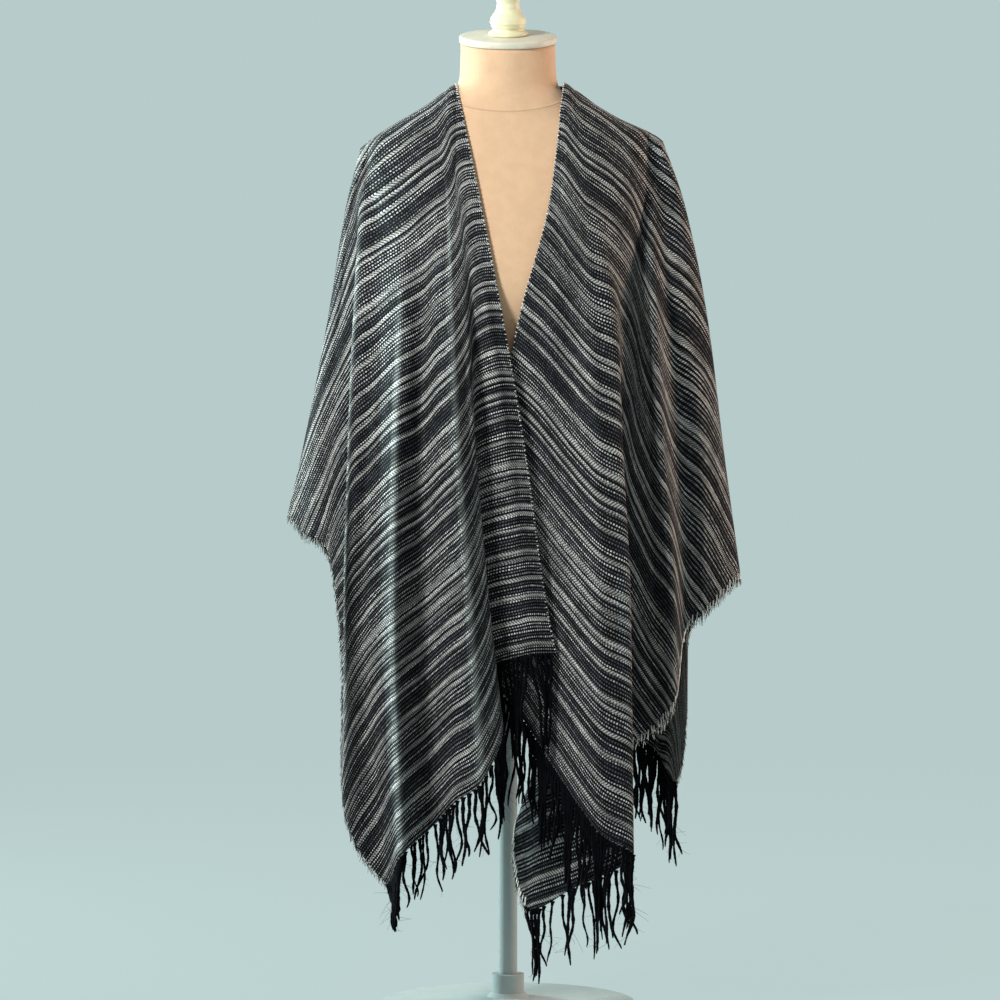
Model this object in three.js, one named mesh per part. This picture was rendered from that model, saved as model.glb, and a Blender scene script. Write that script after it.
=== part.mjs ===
// A woven open-front cape with fringed hems, worn on a limbless dress form on a short stand.
// Millimetres, +Z up, the wearer's front faces -Y. The origin is on the floor, under the stand's pole.
import * as THREE from "three";

// Cloth
const CLOTH_THICKNESS = 2;
const SEAM_GAP = 0.3;
const REST_GAP = 1.3;
const SOFTENING = 4;
const ROW_CROWDING = 2.2;
const LIFT_FADE = 880;
const LIFT_FULL = 1010;
const HANG_GAP = 1.6;
const BACK_EASE = 1.4;
const HANG_FULL = 990;
const HANG_FROM = 1040;
const FREE_BELOW = 350;
const CROWN = 18;
const NECK_HALF = 62;
const NECK_BLEND = 5;
const TOP_SHARE = 0.0025;
const NECK_FADE = 8;
const SOFT_GROWTH = 12;
const SOFT_DEPTH = 20;
const LEVEL_MARGIN = 20;

// Heights at which the folds are stated
const CHEST = 950;
const BUST = 815;
const WAIST = 660;
const HIP = 485;

// Dress form
const NECK_BASE = 1063;
const TILT_FROM = 1100;
const NECK_TOP = 1143;
const NECK_TILT = THREE.MathUtils.degToRad(14);
const FORM_SQUARENESS = 2.4;
const NECK_SQUARENESS = 2;
const ROUNDER_FROM = 1010;
const ROUND_FROM = 1083;
const RIDGE_FROM = 1000;
const FORM_AROUND = 32;
const FORM_STEPS = 2;
const CAP_RADIUS = 58;
const CAP_HEIGHT = 9;
const CAP_EDGE = 2.5;
const CAP_AROUND = 40;
const FINIAL_AROUND = 20;

// Stand
const POLE_RADIUS = 11;
const BASE_RADIUS = 150;
const BASE_EDGE_HEIGHT = 7;
const BASE_CENTRE_HEIGHT = 13;
const COLLAR_RADIUS = 19;
const COLLAR_TOP = 40;
const COLLAR_FLARE = 6;
const COLLAR_RISE = 5;
const STAND_AROUND = 40;
const POLE_AROUND = 24;

// Fringe
const STRIP_HEIGHT = 6;
const STRIP_GAP = 0.9;
const STRAND_WIDTH = 4;
const STRAND_SPACING = 14;
const STRAND_CLEARANCE = 8;
const STRAND_SWAY = 3;
const STRAND_TIP_SHARE = 0.6;
const STRAND_JOINTS = [0.45, 1];

// How unevenly long the strands are, as waves from strand to strand, and how they sway
const lengthWaves = [
  { share: 0.1, turn: 7.3, start: 0 },
  { share: 0.07, turn: 3.1, start: 1 },
];
const swayAcross = { share: 1, turn: 2.7, start: 0 };
const swayOut = { share: 0.6, turn: 1.9, start: 2 };

// Half width and depths of the form at each height
const formRings = [
  { z: 440, half: 146, front: 96, back: 98 },
  { z: 452, half: 154, front: 102, back: 104 },
  { z: 530, half: 163, front: 108, back: 114 },
  { z: 600, half: 150, front: 100, back: 106 },
  { z: 690, half: 118, front: 86, back: 84 },
  { z: 780, half: 134, front: 106, back: 92 },
  { z: 850, half: 148, front: 120, back: 97 },
  { z: 930, half: 158, front: 108, back: 100 },
  { z: 975, half: 162, front: 92, back: 92 },
  { z: 1000, half: 163, front: 80, back: 84 },
  { z: 1016, half: 159, front: 73, back: 77 },
  { z: 1028, half: 149, front: 69, back: 73 },
  { z: 1044, half: 130, front: 64, back: 68 },
  { z: 1063, half: 97, front: 60, back: 65 },
  { z: 1079, half: 74, front: 57, back: 60 },
  { z: 1092, half: 60, front: 55, back: 57 },
  { z: 1108, half: 57, front: 54, back: 55 },
  { z: 1143, half: 56, front: 54, back: 54 },
];

// The line along the top of the shoulders where the cape folds from front to back
const shoulderLine = [
  { x: -192, z: 990 },
  { x: -174, z: 1018 },
  { x: -159, z: 1030 },
  { x: -135, z: 1046 },
  { x: -101, z: 1066 },
  { x: -78, z: 1082 },
  { x: -61, z: 1094 },
  { x: 0, z: 1096 },
  { x: 66, z: 1095 },
  { x: 84, z: 1082 },
  { x: 107, z: 1067 },
  { x: 133, z: 1052 },
  { x: 160, z: 1040 },
  { x: 181, z: 1028 },
  { x: 192, z: 1013 },
];

// Each row is one crest or trough: where it leaves the shoulder line, how far across it is at each
// stated height, where it ends, and how far out it stands at bust, waist and end.
const leftFront = [
  { top: -61, chest: -32, bust: -6, waist: 20, hip: 44, endX: 55, endZ: 429,
    outBust: 129, outWaist: 136, outEnd: 140 },
  { top: -68, chest: -44, bust: -23, waist: -3, hip: 16, endX: 20, endZ: 427,
    outBust: 133, outWaist: 143, outEnd: 150 },
  { top: -76, chest: -54, bust: -41, waist: -40, hip: -37, endX: -23, endZ: 406,
    outBust: 130, outWaist: 134, outEnd: 124 },
  { top: -84, chest: -60, bust: -49, waist: -38, hip: -22, endX: -6, endZ: 343,
    outBust: 142, outWaist: 160, outEnd: 162 },
  { top: -92, chest: -70, bust: -65, waist: -57, hip: -44, endX: -30, endZ: 285,
    outBust: 148, outWaist: 175, outEnd: 185 },
  { top: -102, chest: -83, bust: -82, waist: -76, hip: -68, endX: -60, endZ: 260,
    outBust: 138, outWaist: 160, outEnd: 165 },
  { top: -114, chest: -99, bust: -98, waist: -99, hip: -98, endX: -85, endZ: 229,
    outBust: 118, outWaist: 125, outEnd: 120 },
  { top: -128, chest: -122, bust: -125, waist: -130, hip: -132, endX: -122, endZ: 198,
    outBust: 122, outWaist: 145, outEnd: 160 },
  { top: -140, chest: -150, bust: -153, waist: -159, hip: -164, endX: -139, endZ: 159,
    outBust: 90, outWaist: 100, outEnd: 110 },
  { top: -147, chest: -170, bust: -179, waist: -185, hip: -189, endX: -188, endZ: 242,
    outBust: 78, outWaist: 98, outEnd: 115 },
  { top: -152, chest: -176, bust: -170, waist: -166, hip: -178, endX: -194, endZ: 427,
    outBust: 46, outWaist: 50, outEnd: 60 },
  { top: -157, chest: -183, bust: -191, waist: -206, endX: -211, endZ: 540,
    outBust: 26, outWaist: 30, outEnd: 38 },
  { top: -162, chest: -187, bust: -204, waist: -229, endX: -240, endZ: 562,
    outBust: 12, outWaist: 16, outEnd: 18 },
  { top: -174, chest: -191, bust: -213, waist: -243, endX: -260, endZ: 586,
    outBust: 0, outWaist: 0, outEnd: 0 },
];

const rightFront = [
  { top: 66, chest: 48, bust: 13, waist: -16, hip: -42, endX: -51, endZ: 421,
    outBust: 122, outWaist: 120, outEnd: 108 },
  { top: 71, chest: 61, bust: 43, waist: 26, hip: 8, endX: 5, endZ: 368,
    outBust: 124, outWaist: 124, outEnd: 116 },
  { top: 78, chest: 76, bust: 75, waist: 69, hip: 61, endX: 56, endZ: 292,
    outBust: 120, outWaist: 130, outEnd: 138 },
  { top: 84, chest: 90, bust: 98, waist: 103, hip: 105, endX: 103, endZ: 226,
    outBust: 125, outWaist: 148, outEnd: 160 },
  { top: 92, chest: 104, bust: 123, waist: 131, hip: 140, endX: 143, endZ: 195,
    outBust: 118, outWaist: 140, outEnd: 150 },
  { top: 103, chest: 122, bust: 131, waist: 122, hip: 108, endX: 78, endZ: 156,
    outBust: 82, outWaist: 116, outEnd: 112 },
  { top: 113, chest: 133, bust: 140, waist: 119, hip: 75, endX: 21, endZ: 132,
    outBust: 66, outWaist: 106, outEnd: 92 },
  { top: 122, chest: 143, bust: 147, waist: 133, hip: 96, endX: 13, endZ: 234,
    outBust: 56, outWaist: 92, outEnd: 74 },
  { top: 132, chest: 152, bust: 156, waist: 150, hip: 140, endX: 108, endZ: 292,
    outBust: 52, outWaist: 78, outEnd: 62 },
  { top: 141, chest: 159, bust: 164, waist: 166, hip: 168, endX: 166, endZ: 330,
    outBust: 60, outWaist: 76, outEnd: 64 },
  { top: 150, chest: 167, bust: 172, waist: 179, hip: 192, endX: 193, endZ: 366,
    outBust: 68, outWaist: 92, outEnd: 84 },
  { top: 160, chest: 180, bust: 187, waist: 197, hip: 206, endX: 206, endZ: 443,
    outBust: 40, outWaist: 42, outEnd: 38 },
  { top: 168, chest: 194, bust: 210, waist: 227, endX: 231, endZ: 469,
    outBust: 30, outWaist: 34, outEnd: 34 },
  { top: 176, chest: 203, bust: 227, waist: 246, endX: 257, endZ: 495,
    outBust: 12, outWaist: 15, outEnd: 14 },
  { top: 183, chest: 209, bust: 236, waist: 255, endX: 275, endZ: 511,
    outBust: 0, outWaist: 0, outEnd: 0 },
];

const wholeBack = [
  { top: -174, chest: -191, bust: -213, waist: -243, endX: -260, endZ: 586,
    outBust: 0, outWaist: 0, outEnd: 0 },
  { top: -163, chest: -188, bust: -205, waist: -229, endX: -238, endZ: 563,
    outBust: 13, outWaist: 18, outEnd: 20 },
  { top: -157, chest: -181, bust: -190, waist: -205, endX: -207, endZ: 520,
    outBust: 46, outWaist: 54, outEnd: 55 },
  { top: -151, chest: -173, bust: -175, waist: -182, hip: -185, endX: -186, endZ: 420,
    outBust: 38, outWaist: 44, outEnd: 54 },
  { top: -143, chest: -162, bust: -162, waist: -168, hip: -171, endX: -166, endZ: 290,
    outBust: 84, outWaist: 94, outEnd: 96 },
  { top: -131, chest: -142, bust: -140, waist: -141, hip: -142, endX: -138, endZ: 302,
    outBust: 92, outWaist: 88, outEnd: 84 },
  { top: -116, chest: -116, bust: -116, waist: -118, hip: -118, endX: -112, endZ: 335,
    outBust: 118, outWaist: 132, outEnd: 146 },
  { top: -94, chest: -90, bust: -88, waist: -86, hip: -84, endX: -80, endZ: 375,
    outBust: 114, outWaist: 116, outEnd: 112 },
  { top: -74, chest: -66, bust: -62, waist: -60, hip: -58, endX: -54, endZ: 412,
    outBust: 120, outWaist: 128, outEnd: 134 },
  { top: -50, chest: -42, bust: -36, waist: -34, hip: -33, endX: -31, endZ: 437,
    outBust: 115, outWaist: 114, outEnd: 112 },
  { top: -20, chest: -12, bust: -4, waist: 0, hip: 3, endX: 4, endZ: 448,
    outBust: 126, outWaist: 144, outEnd: 158 },
  { top: 15, chest: 20, bust: 26, waist: 30, hip: 32, endX: 36, endZ: 440,
    outBust: 116, outWaist: 117, outEnd: 118 },
  { top: 46, chest: 48, bust: 50, waist: 52, hip: 53, endX: 57, endZ: 425,
    outBust: 122, outWaist: 130, outEnd: 136 },
  { top: 78, chest: 82, bust: 84, waist: 86, hip: 87, endX: 92, endZ: 385,
    outBust: 111, outWaist: 104, outEnd: 98 },
  { top: 105, chest: 112, bust: 116, waist: 120, hip: 124, endX: 128, endZ: 350,
    outBust: 118, outWaist: 134, outEnd: 146 },
  { top: 128, chest: 138, bust: 141, waist: 145, hip: 150, endX: 152, endZ: 318,
    outBust: 88, outWaist: 80, outEnd: 72 },
  { top: 146, chest: 157, bust: 163, waist: 171, hip: 178, endX: 181, endZ: 292,
    outBust: 88, outWaist: 98, outEnd: 104 },
  { top: 158, chest: 172, bust: 180, waist: 191, hip: 200, endX: 202, endZ: 262,
    outBust: 50, outWaist: 54, outEnd: 60 },
  { top: 166, chest: 183, bust: 193, waist: 205, hip: 212, endX: 213, endZ: 330,
    outBust: 28, outWaist: 30, outEnd: 33 },
  { top: 172, chest: 191, bust: 206, waist: 220, hip: 219, endX: 217, endZ: 440,
    outBust: 40, outWaist: 48, outEnd: 50 },
  { top: 178, chest: 201, bust: 222, waist: 241, endX: 248, endZ: 496,
    outBust: 13, outWaist: 18, outEnd: 20 },
  { top: 183, chest: 209, bust: 236, waist: 255, endX: 275, endZ: 511,
    outBust: 0, outWaist: 0, outEnd: 0 },
];

// Value at a place along a list of keys, eased so that it never overshoots.
function smoothAlong(keys, values, at) {
  const last = keys.length - 1;
  if (at <= keys[0]) return values[0];
  if (at >= keys[last]) return values[last];
  let i = 0;
  while (at > keys[i + 1]) i += 1;
  const slope = (k) => (values[k + 1] - values[k]) / (keys[k + 1] - keys[k]);
  const tangent = (k) => {
    if (k === 0) return slope(0);
    if (k === last) return slope(last - 1);
    const before = slope(k - 1);
    const after = slope(k);
    if (before * after <= 0) return 0;
    return (2 * before * after) / (before + after);
  };
  const span = keys[i + 1] - keys[i];
  const f = (at - keys[i]) / span;
  const h00 = (1 + 2 * f) * (1 - f) * (1 - f);
  const h10 = f * (1 - f) * (1 - f);
  const h01 = f * f * (3 - 2 * f);
  const h11 = f * f * (f - 1);
  return h00 * values[i] + h10 * span * tangent(i) + h01 * values[i + 1] + h11 * span * tangent(i + 1);
}

const ringHeights = formRings.map((ring) => ring.z);
const ringHalves = formRings.map((ring) => ring.half);
const ringFronts = formRings.map((ring) => ring.front);
const ringBacks = formRings.map((ring) => ring.back);

// Squareness of the form's section: round at the neck, fuller at the shoulders and below.
function squareness(z) {
  const blend = THREE.MathUtils.smoothstep(z, ROUNDER_FROM, ROUND_FROM);
  return THREE.MathUtils.lerp(FORM_SQUARENESS, NECK_SQUARENESS, blend);
}

// How far the form reaches out from the middle plane, at x across and height z.
function formDepth(x, z, side, clearance) {
  const half = smoothAlong(ringHeights, ringHalves, z) + clearance;
  const depths = side < 0 ? ringFronts : ringBacks;
  const depth = smoothAlong(ringHeights, depths, z) + clearance;
  const across = Math.min(1, Math.abs(x) / half);
  const power = squareness(z);
  return depth * Math.pow(1 - Math.pow(across, power), 1 / power);
}

const shoulderAcross = shoulderLine.map((p) => p.x);
const shoulderHeights = shoulderLine.map((p) => p.z);
const ridgeRings = formRings.filter((ring) => ring.z >= RIDGE_FROM).reverse();
const ridgeHalves = ridgeRings.map((ring) => ring.half);
const ridgeHeights = ridgeRings.map((ring) => ring.z);

function shoulderHeight(x) {
  return smoothAlong(shoulderAcross, shoulderHeights, x);
}

// Distance kept between the form and the middle of the cloth: close on the shoulders, looser below.
function clearanceAt(z, side) {
  const hanging = 1 - THREE.MathUtils.smoothstep(z, HANG_FULL, HANG_FROM);
  return CLOTH_THICKNESS / 2 + REST_GAP + HANG_GAP * hanging + (side > 0 ? BACK_EASE : 0);
}

// How far the cape's fold line lies above the form's own shoulder, fading out below the shoulder.
function shoulderLift(x, z, side) {
  const height = shoulderHeight(x);
  const across = Math.abs(x) - clearanceAt(height, side);
  const above = height - smoothAlong(ridgeHalves, ridgeHeights, across);
  return Math.max(0, above) * THREE.MathUtils.smoothstep(z, LIFT_FADE, LIFT_FULL);
}

// How far out the form holds the cloth. Under the form's lower end the cloth falls free.
function carriedDepth(x, z, side) {
  const clearance = clearanceAt(z, side);
  const lifted = formDepth(x, z - shoulderLift(x, z, side), side, clearance);
  const plain = formDepth(x, z, side, clearance);
  return Math.max(lifted, plain) * THREE.MathUtils.smoothstep(z, FREE_BELOW, formRings[0].z);
}

// One crest or trough line of a panel, at share t of its way from shoulder line to its end.
function foldLine(row, side) {
  const topZ = shoulderHeight(row.top);
  const levels = [
    { z: CHEST, x: row.chest },
    { z: BUST, x: row.bust, out: row.outBust },
    { z: WAIST, x: row.waist, out: row.outWaist },
    { z: HIP, x: row.hip },
  ].filter((level) => level.x !== undefined && level.z > row.endZ + LEVEL_MARGIN);
  const end = { z: row.endZ, x: row.endX, out: row.outEnd };
  const path = [end, ...levels.reverse(), { z: topZ, x: row.top, out: 0 }];
  const depthPath = path.filter((level) => level.out !== undefined);
  const startsBehindNeck = side > 0 && Math.abs(row.top) < NECK_HALF;
  const topOut = startsBehindNeck ? formDepth(row.top, topZ, side, 0) : 0;
  return (t) => {
    const z = topZ + (row.endZ - topZ) * t;
    const x = smoothAlong(path.map((p) => p.z), path.map((p) => p.x), z);
    const stated = smoothAlong(depthPath.map((p) => p.z), depthPath.map((p) => p.out), z);
    const fallen = Math.min(1, (topZ - z) / CROWN);
    const crown = row.outEnd === 0 ? 0 : CROWN * Math.sqrt(fallen * (2 - fallen));
    const wanted = Math.max(topOut * Math.max(0, 1 - NECK_FADE * t), Math.hypot(stated, crown));
    return { x, z, wanted };
  };
}

function catmullRom(a, b, c, d, f) {
  const f2 = f * f;
  const f3 = f2 * f;
  return 0.5 * (2 * b + (c - a) * f + (2 * a - 5 * b + 4 * c - d) * f2 + (3 * b - a - 3 * c + d) * f3);
}

// The middle surface of a panel, as a function of s across its fold lines and t from shoulder to end.
function panelSurface(rows, side) {
  const lines = rows.map((row) => foldLine(row, side));
  const last = lines.length - 1;
  const closesStart = rows[0].outEnd === 0;
  const closesEnd = rows[last].outEnd === 0;
  const beyond = (edge, next, closes) => {
    if (closes) return { x: next.x, z: next.z, wanted: -next.wanted };
    return { x: 2 * edge.x - next.x, z: 2 * edge.z - next.z, wanted: 2 * edge.wanted - next.wanted };
  };
  const lineAt = (i, t) => {
    if (i < 0) return beyond(lines[0](t), lines[1](t), closesStart);
    if (i > last) return beyond(lines[last](t), lines[last - 1](t), closesEnd);
    return lines[i](t);
  };
  return (s, t) => {
    const i = Math.min(last - 1, Math.max(0, Math.floor(s)));
    const f = s - i;
    const around = [-1, 0, 1, 2].map((step) => lineAt(i + step, t));
    const blend = (key) => catmullRom(...around.map((line) => line[key]), f);
    const x = blend("x");
    const z = blend("z");
    const wanted = blend("wanted");
    const outward = THREE.MathUtils.smoothstep(Math.abs(x), NECK_HALF - NECK_BLEND, NECK_HALF + NECK_BLEND);
    const behindNeck = side > 0 ? 1 - outward : 0;
    const spread = Math.max(behindNeck, Math.min(1, Math.sqrt(t / TOP_SHARE)));
    const carried = carriedDepth(x, z, side) * spread;
    const soft = SOFTENING * Math.min(1, SOFT_GROWTH * t) * Math.min(1, carried / SOFT_DEPTH);
    const out = 0.5 * (wanted + carried + Math.hypot(wanted - carried, soft));
    return new THREE.Vector3(x, side * (out + SEAM_GAP / 2), z);
  };
}

// A closed wall between an outer and an inner grid of points.
function wallGeometry(outer, inner) {
  const across = outer.length;
  const down = outer[0].length;
  const positions = [];
  for (const grid of [outer, inner]) {
    for (const column of grid) {
      for (const point of column) positions.push(point.x, point.y, point.z);
    }
  }
  const outerAt = (i, j) => i * down + j;
  const innerAt = (i, j) => across * down + i * down + j;
  const index = [];
  const quad = (a, b, c, d) => index.push(a, b, c, a, c, d);
  for (let i = 0; i < across - 1; i += 1) {
    for (let j = 0; j < down - 1; j += 1) {
      quad(outerAt(i, j), outerAt(i, j + 1), outerAt(i + 1, j + 1), outerAt(i + 1, j));
      quad(innerAt(i, j), innerAt(i + 1, j), innerAt(i + 1, j + 1), innerAt(i, j + 1));
    }
    quad(outerAt(i, 0), outerAt(i + 1, 0), innerAt(i + 1, 0), innerAt(i, 0));
    quad(outerAt(i, down - 1), innerAt(i, down - 1), innerAt(i + 1, down - 1), outerAt(i + 1, down - 1));
  }
  for (let j = 0; j < down - 1; j += 1) {
    quad(outerAt(0, j), innerAt(0, j), innerAt(0, j + 1), outerAt(0, j + 1));
    const i = across - 1;
    quad(outerAt(i, j), outerAt(i, j + 1), innerAt(i, j + 1), innerAt(i, j));
  }
  const geometry = new THREE.BufferGeometry();
  geometry.setAttribute("position", new THREE.Float32BufferAttribute(positions, 3));
  geometry.setIndex(index);
  return geometry;
}

// Turns a geometry's faces round when they point inwards.
function facingOut(geometry) {
  const position = geometry.getAttribute("position");
  const index = Array.from(geometry.index.array);
  const corner = (i) => new THREE.Vector3().fromBufferAttribute(position, index[i]);
  let volume = 0;
  for (let i = 0; i < index.length; i += 3) {
    volume += corner(i).dot(corner(i + 1).cross(corner(i + 2)));
  }
  if (volume < 0) geometry.setIndex(index.reverse());
  geometry.computeVertexNormals();
  return geometry;
}

// The two faces of a panel's wall, as grids of points with more rows near the shoulder, where it bends most.
function panelFaces(surface, lastLine, stepsPerFold, rowCount, foldedEdges) {
  const middle = [];
  for (let i = 0; i <= lastLine * stepsPerFold; i += 1) {
    const column = [];
    for (let j = 0; j <= rowCount; j += 1) {
      column.push(surface(i / stepsPerFold, Math.pow(j / rowCount, ROW_CROWDING)));
    }
    middle.push(column);
  }
  const lastColumn = middle.length - 1;
  const normalAt = (i, j) => {
    const before = middle[Math.max(0, i - 1)][j];
    const after = middle[Math.min(lastColumn, i + 1)][j];
    const above = middle[i][Math.max(0, j - 1)];
    const below = middle[i][Math.min(rowCount, j + 1)];
    const normal = after.clone().sub(before).cross(below.clone().sub(above)).normalize();
    const onShoulderFold = j === 0 && Math.abs(middle[i][j].y) < SEAM_GAP;
    if (onShoulderFold || foldedEdges.includes(i / stepsPerFold)) normal.setY(0).normalize();
    return normal.multiplyScalar(CLOTH_THICKNESS / 2);
  };
  const moved = (sign) => middle.map((column, i) => (
    column.map((point, j) => point.clone().addScaledVector(normalAt(i, j), sign))
  ));
  return { outer: moved(1), inner: moved(-1) };
}

const cloth = { color: 0x26262b, roughness: 0.9, metalness: 0 };
const yarn = { color: 0x141417, roughness: 0.95, metalness: 0 };
const linen = { color: 0xcbbfab, roughness: 0.85, metalness: 0 };
const wood = { color: 0xd9cdb8, roughness: 0.5, metalness: 0 };

const cape = new THREE.Group();
cape.name = "cape_on_dress_form";

function addMesh(name, geometry, finish) {
  const mesh = new THREE.Mesh(geometry, new THREE.MeshStandardMaterial(finish));
  mesh.name = name;
  cape.add(mesh);
  return mesh;
}

const panels = [
  { name: "front_left", rows: leftFront, side: -1, steps: 3, down: 15, hem: [0, 8], fringe: [112, 66] },
  { name: "front_right", rows: rightFront, side: -1, steps: 3, down: 15, hem: [0, 6], fringe: [108, 84] },
  { name: "back", rows: wholeBack, side: 1, steps: 2, down: 14, hem: [4, 17], fringe: [100, 112] },
];

function waveAt(wave, k) {
  return wave.share * Math.sin(wave.turn * k + wave.start);
}

// A narrow strip just below a hem, with a row of thin hanging strands fused into its lower edge.
// It has a corner under each corner of the wall's hem, so the gap between them stays even.
function fringeGeometry(faces, steps, hem, lengthsAtEnds) {
  const positions = [];
  const addPoint = (point) => positions.push(point.x, point.y, point.z) / 3 - 1;
  const pointAt = (i) => new THREE.Vector3().fromArray(positions, 3 * i);
  const index = [];
  const quad = (a, b, c, d) => index.push(a, b, c, a, c, d);
  const corners = [];
  for (let i = hem[0] * steps; i <= hem[1] * steps; i += 1) {
    const outer = faces.outer[i];
    const inner = faces.inner[i];
    const lastRow = outer.length - 1;
    const along = outer[lastRow].clone().sub(outer[lastRow - 1]).normalize();
    const down = (point, distance) => point.clone().addScaledVector(along, distance);
    corners.push([
      down(outer[lastRow], STRIP_GAP),
      down(outer[lastRow], STRIP_GAP + STRIP_HEIGHT),
      down(inner[lastRow], STRIP_GAP + STRIP_HEIGHT),
      down(inner[lastRow], STRIP_GAP),
    ]);
  }
  const between = (i, share) => corners[i].map((point, c) => point.clone().lerp(corners[i + 1][c], share));
  const stations = [];
  const rootsInPlan = [];
  for (let i = 0; i < corners.length - 1; i += 1) {
    stations.push({ points: corners[i], opensStrand: false });
    const length = corners[i][1].distanceTo(corners[i + 1][1]);
    const count = Math.max(1, Math.round(length / STRAND_SPACING));
    for (let k = 0; k < count; k += 1) {
      const middle = (k + 0.5) / count;
      const halfWidth = STRAND_WIDTH / 2 / length;
      const centre = between(i, middle)[1];
      const inPlan = new THREE.Vector2(centre.x, centre.y);
      if (rootsInPlan.some((other) => other.distanceTo(inPlan) < STRAND_CLEARANCE)) continue;
      rootsInPlan.push(inPlan);
      stations.push({ points: between(i, middle - halfWidth), opensStrand: true });
      stations.push({ points: between(i, middle + halfWidth), opensStrand: false });
    }
  }
  stations.push({ points: corners[corners.length - 1], opensStrand: false });
  const sections = stations.map((station) => station.points.map(addPoint));
  const strands = [];
  for (let i = 0; i < sections.length - 1; i += 1) {
    const a = sections[i];
    const b = sections[i + 1];
    quad(a[0], a[1], b[1], b[0]);
    quad(a[2], a[3], b[3], b[2]);
    quad(a[0], b[0], b[3], a[3]);
    if (stations[i].opensStrand) strands.push([a[1], a[2], b[2], b[1]]);
    else quad(a[1], a[2], b[2], b[1]);
  }
  const first = sections[0];
  const end = sections[sections.length - 1];
  quad(first[0], first[3], first[2], first[1]);
  quad(end[0], end[1], end[2], end[3]);
  strands.forEach((rootRing, k) => {
    const root = rootRing.reduce((sum, i) => sum.add(pointAt(i)), new THREE.Vector3()).divideScalar(4);
    const share = k / (strands.length - 1);
    const uneven = lengthWaves.reduce((sum, wave) => sum + waveAt(wave, k), 1);
    const length = THREE.MathUtils.lerp(lengthsAtEnds[0], lengthsAtEnds[1], share) * uneven - STRIP_HEIGHT;
    const sway = new THREE.Vector3(waveAt(swayAcross, k), waveAt(swayOut, k), 0);
    let ring = rootRing;
    for (const part of STRAND_JOINTS) {
      const centre = root.clone().addScaledVector(sway, STRAND_SWAY * part);
      centre.z -= length * part;
      const size = 1 + (STRAND_TIP_SHARE - 1) * part;
      const next = rootRing.map((i) => {
        const corner = pointAt(i).sub(root);
        corner.z = 0;
        return addPoint(centre.clone().addScaledVector(corner, size));
      });
      for (let c = 0; c < 4; c += 1) quad(ring[c], ring[(c + 1) % 4], next[(c + 1) % 4], next[c]);
      ring = next;
    }
    quad(ring[0], ring[1], ring[2], ring[3]);
  });
  const geometry = new THREE.BufferGeometry();
  geometry.setAttribute("position", new THREE.Float32BufferAttribute(positions, 3));
  geometry.setIndex(index);
  return geometry;
}

for (const panel of panels) {
  const surface = panelSurface(panel.rows, panel.side);
  const lastLine = panel.rows.length - 1;
  const foldedEdges = [0, lastLine].filter((line) => panel.rows[line].outEnd === 0);
  const faces = panelFaces(surface, lastLine, panel.steps, panel.down, foldedEdges);
  addMesh(panel.name, facingOut(wallGeometry(faces.outer, faces.inner)), cloth);
  const fringe = fringeGeometry(faces, panel.steps, panel.hem, panel.fringe);
  addMesh("fringe_" + panel.name, facingOut(fringe), yarn);
}

// The torso with its neck, ring over ring, with the neck's top tilted forward.
function formGeometry() {
  const heights = [formRings[0].z];
  for (let i = 1; i < formRings.length; i += 1) {
    const span = formRings[i].z - formRings[i - 1].z;
    for (let step = 1; step <= FORM_STEPS; step += 1) {
      heights.push(formRings[i - 1].z + (span * step) / FORM_STEPS);
    }
  }
  const positions = [];
  const index = [];
  for (const z of heights) {
    const half = smoothAlong(ringHeights, ringHalves, z);
    const front = smoothAlong(ringHeights, ringFronts, z);
    const back = smoothAlong(ringHeights, ringBacks, z);
    const power = squareness(z);
    const tilt = Math.tan(NECK_TILT) * THREE.MathUtils.smoothstep(z, TILT_FROM, NECK_TOP);
    for (let k = 0; k < FORM_AROUND; k += 1) {
      const angle = (2 * Math.PI * k) / FORM_AROUND;
      const c = Math.cos(angle);
      const s = Math.sin(angle);
      const depth = s < 0 ? front : back;
      const x = half * Math.sign(c) * Math.pow(Math.abs(c), 2 / power);
      const y = depth * Math.sign(s) * Math.pow(Math.abs(s), 2 / power);
      positions.push(x, y, z + y * tilt);
    }
  }
  const topRing = heights.length - 1;
  const at = (r, k) => r * FORM_AROUND + (k % FORM_AROUND);
  for (let r = 0; r < topRing; r += 1) {
    for (let k = 0; k < FORM_AROUND; k += 1) {
      index.push(at(r, k), at(r, k + 1), at(r + 1, k + 1));
      index.push(at(r, k), at(r + 1, k + 1), at(r + 1, k));
    }
  }
  for (let k = 1; k < FORM_AROUND - 1; k += 1) {
    index.push(at(0, 0), at(0, k + 1), at(0, k));
    index.push(at(topRing, 0), at(topRing, k), at(topRing, k + 1));
  }
  const geometry = new THREE.BufferGeometry();
  geometry.setAttribute("position", new THREE.Float32BufferAttribute(positions, 3));
  geometry.setIndex(index);
  return geometry;
}

// A turned solid about Z from a profile of radius and height that starts and ends on the axis.
function turned(profile, around) {
  const points = profile.map((p) => new THREE.Vector2(p.r, p.z));
  return new THREE.LatheGeometry(points, around).rotateX(Math.PI / 2);
}

addMesh("form_torso", facingOut(formGeometry()), linen);

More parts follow.
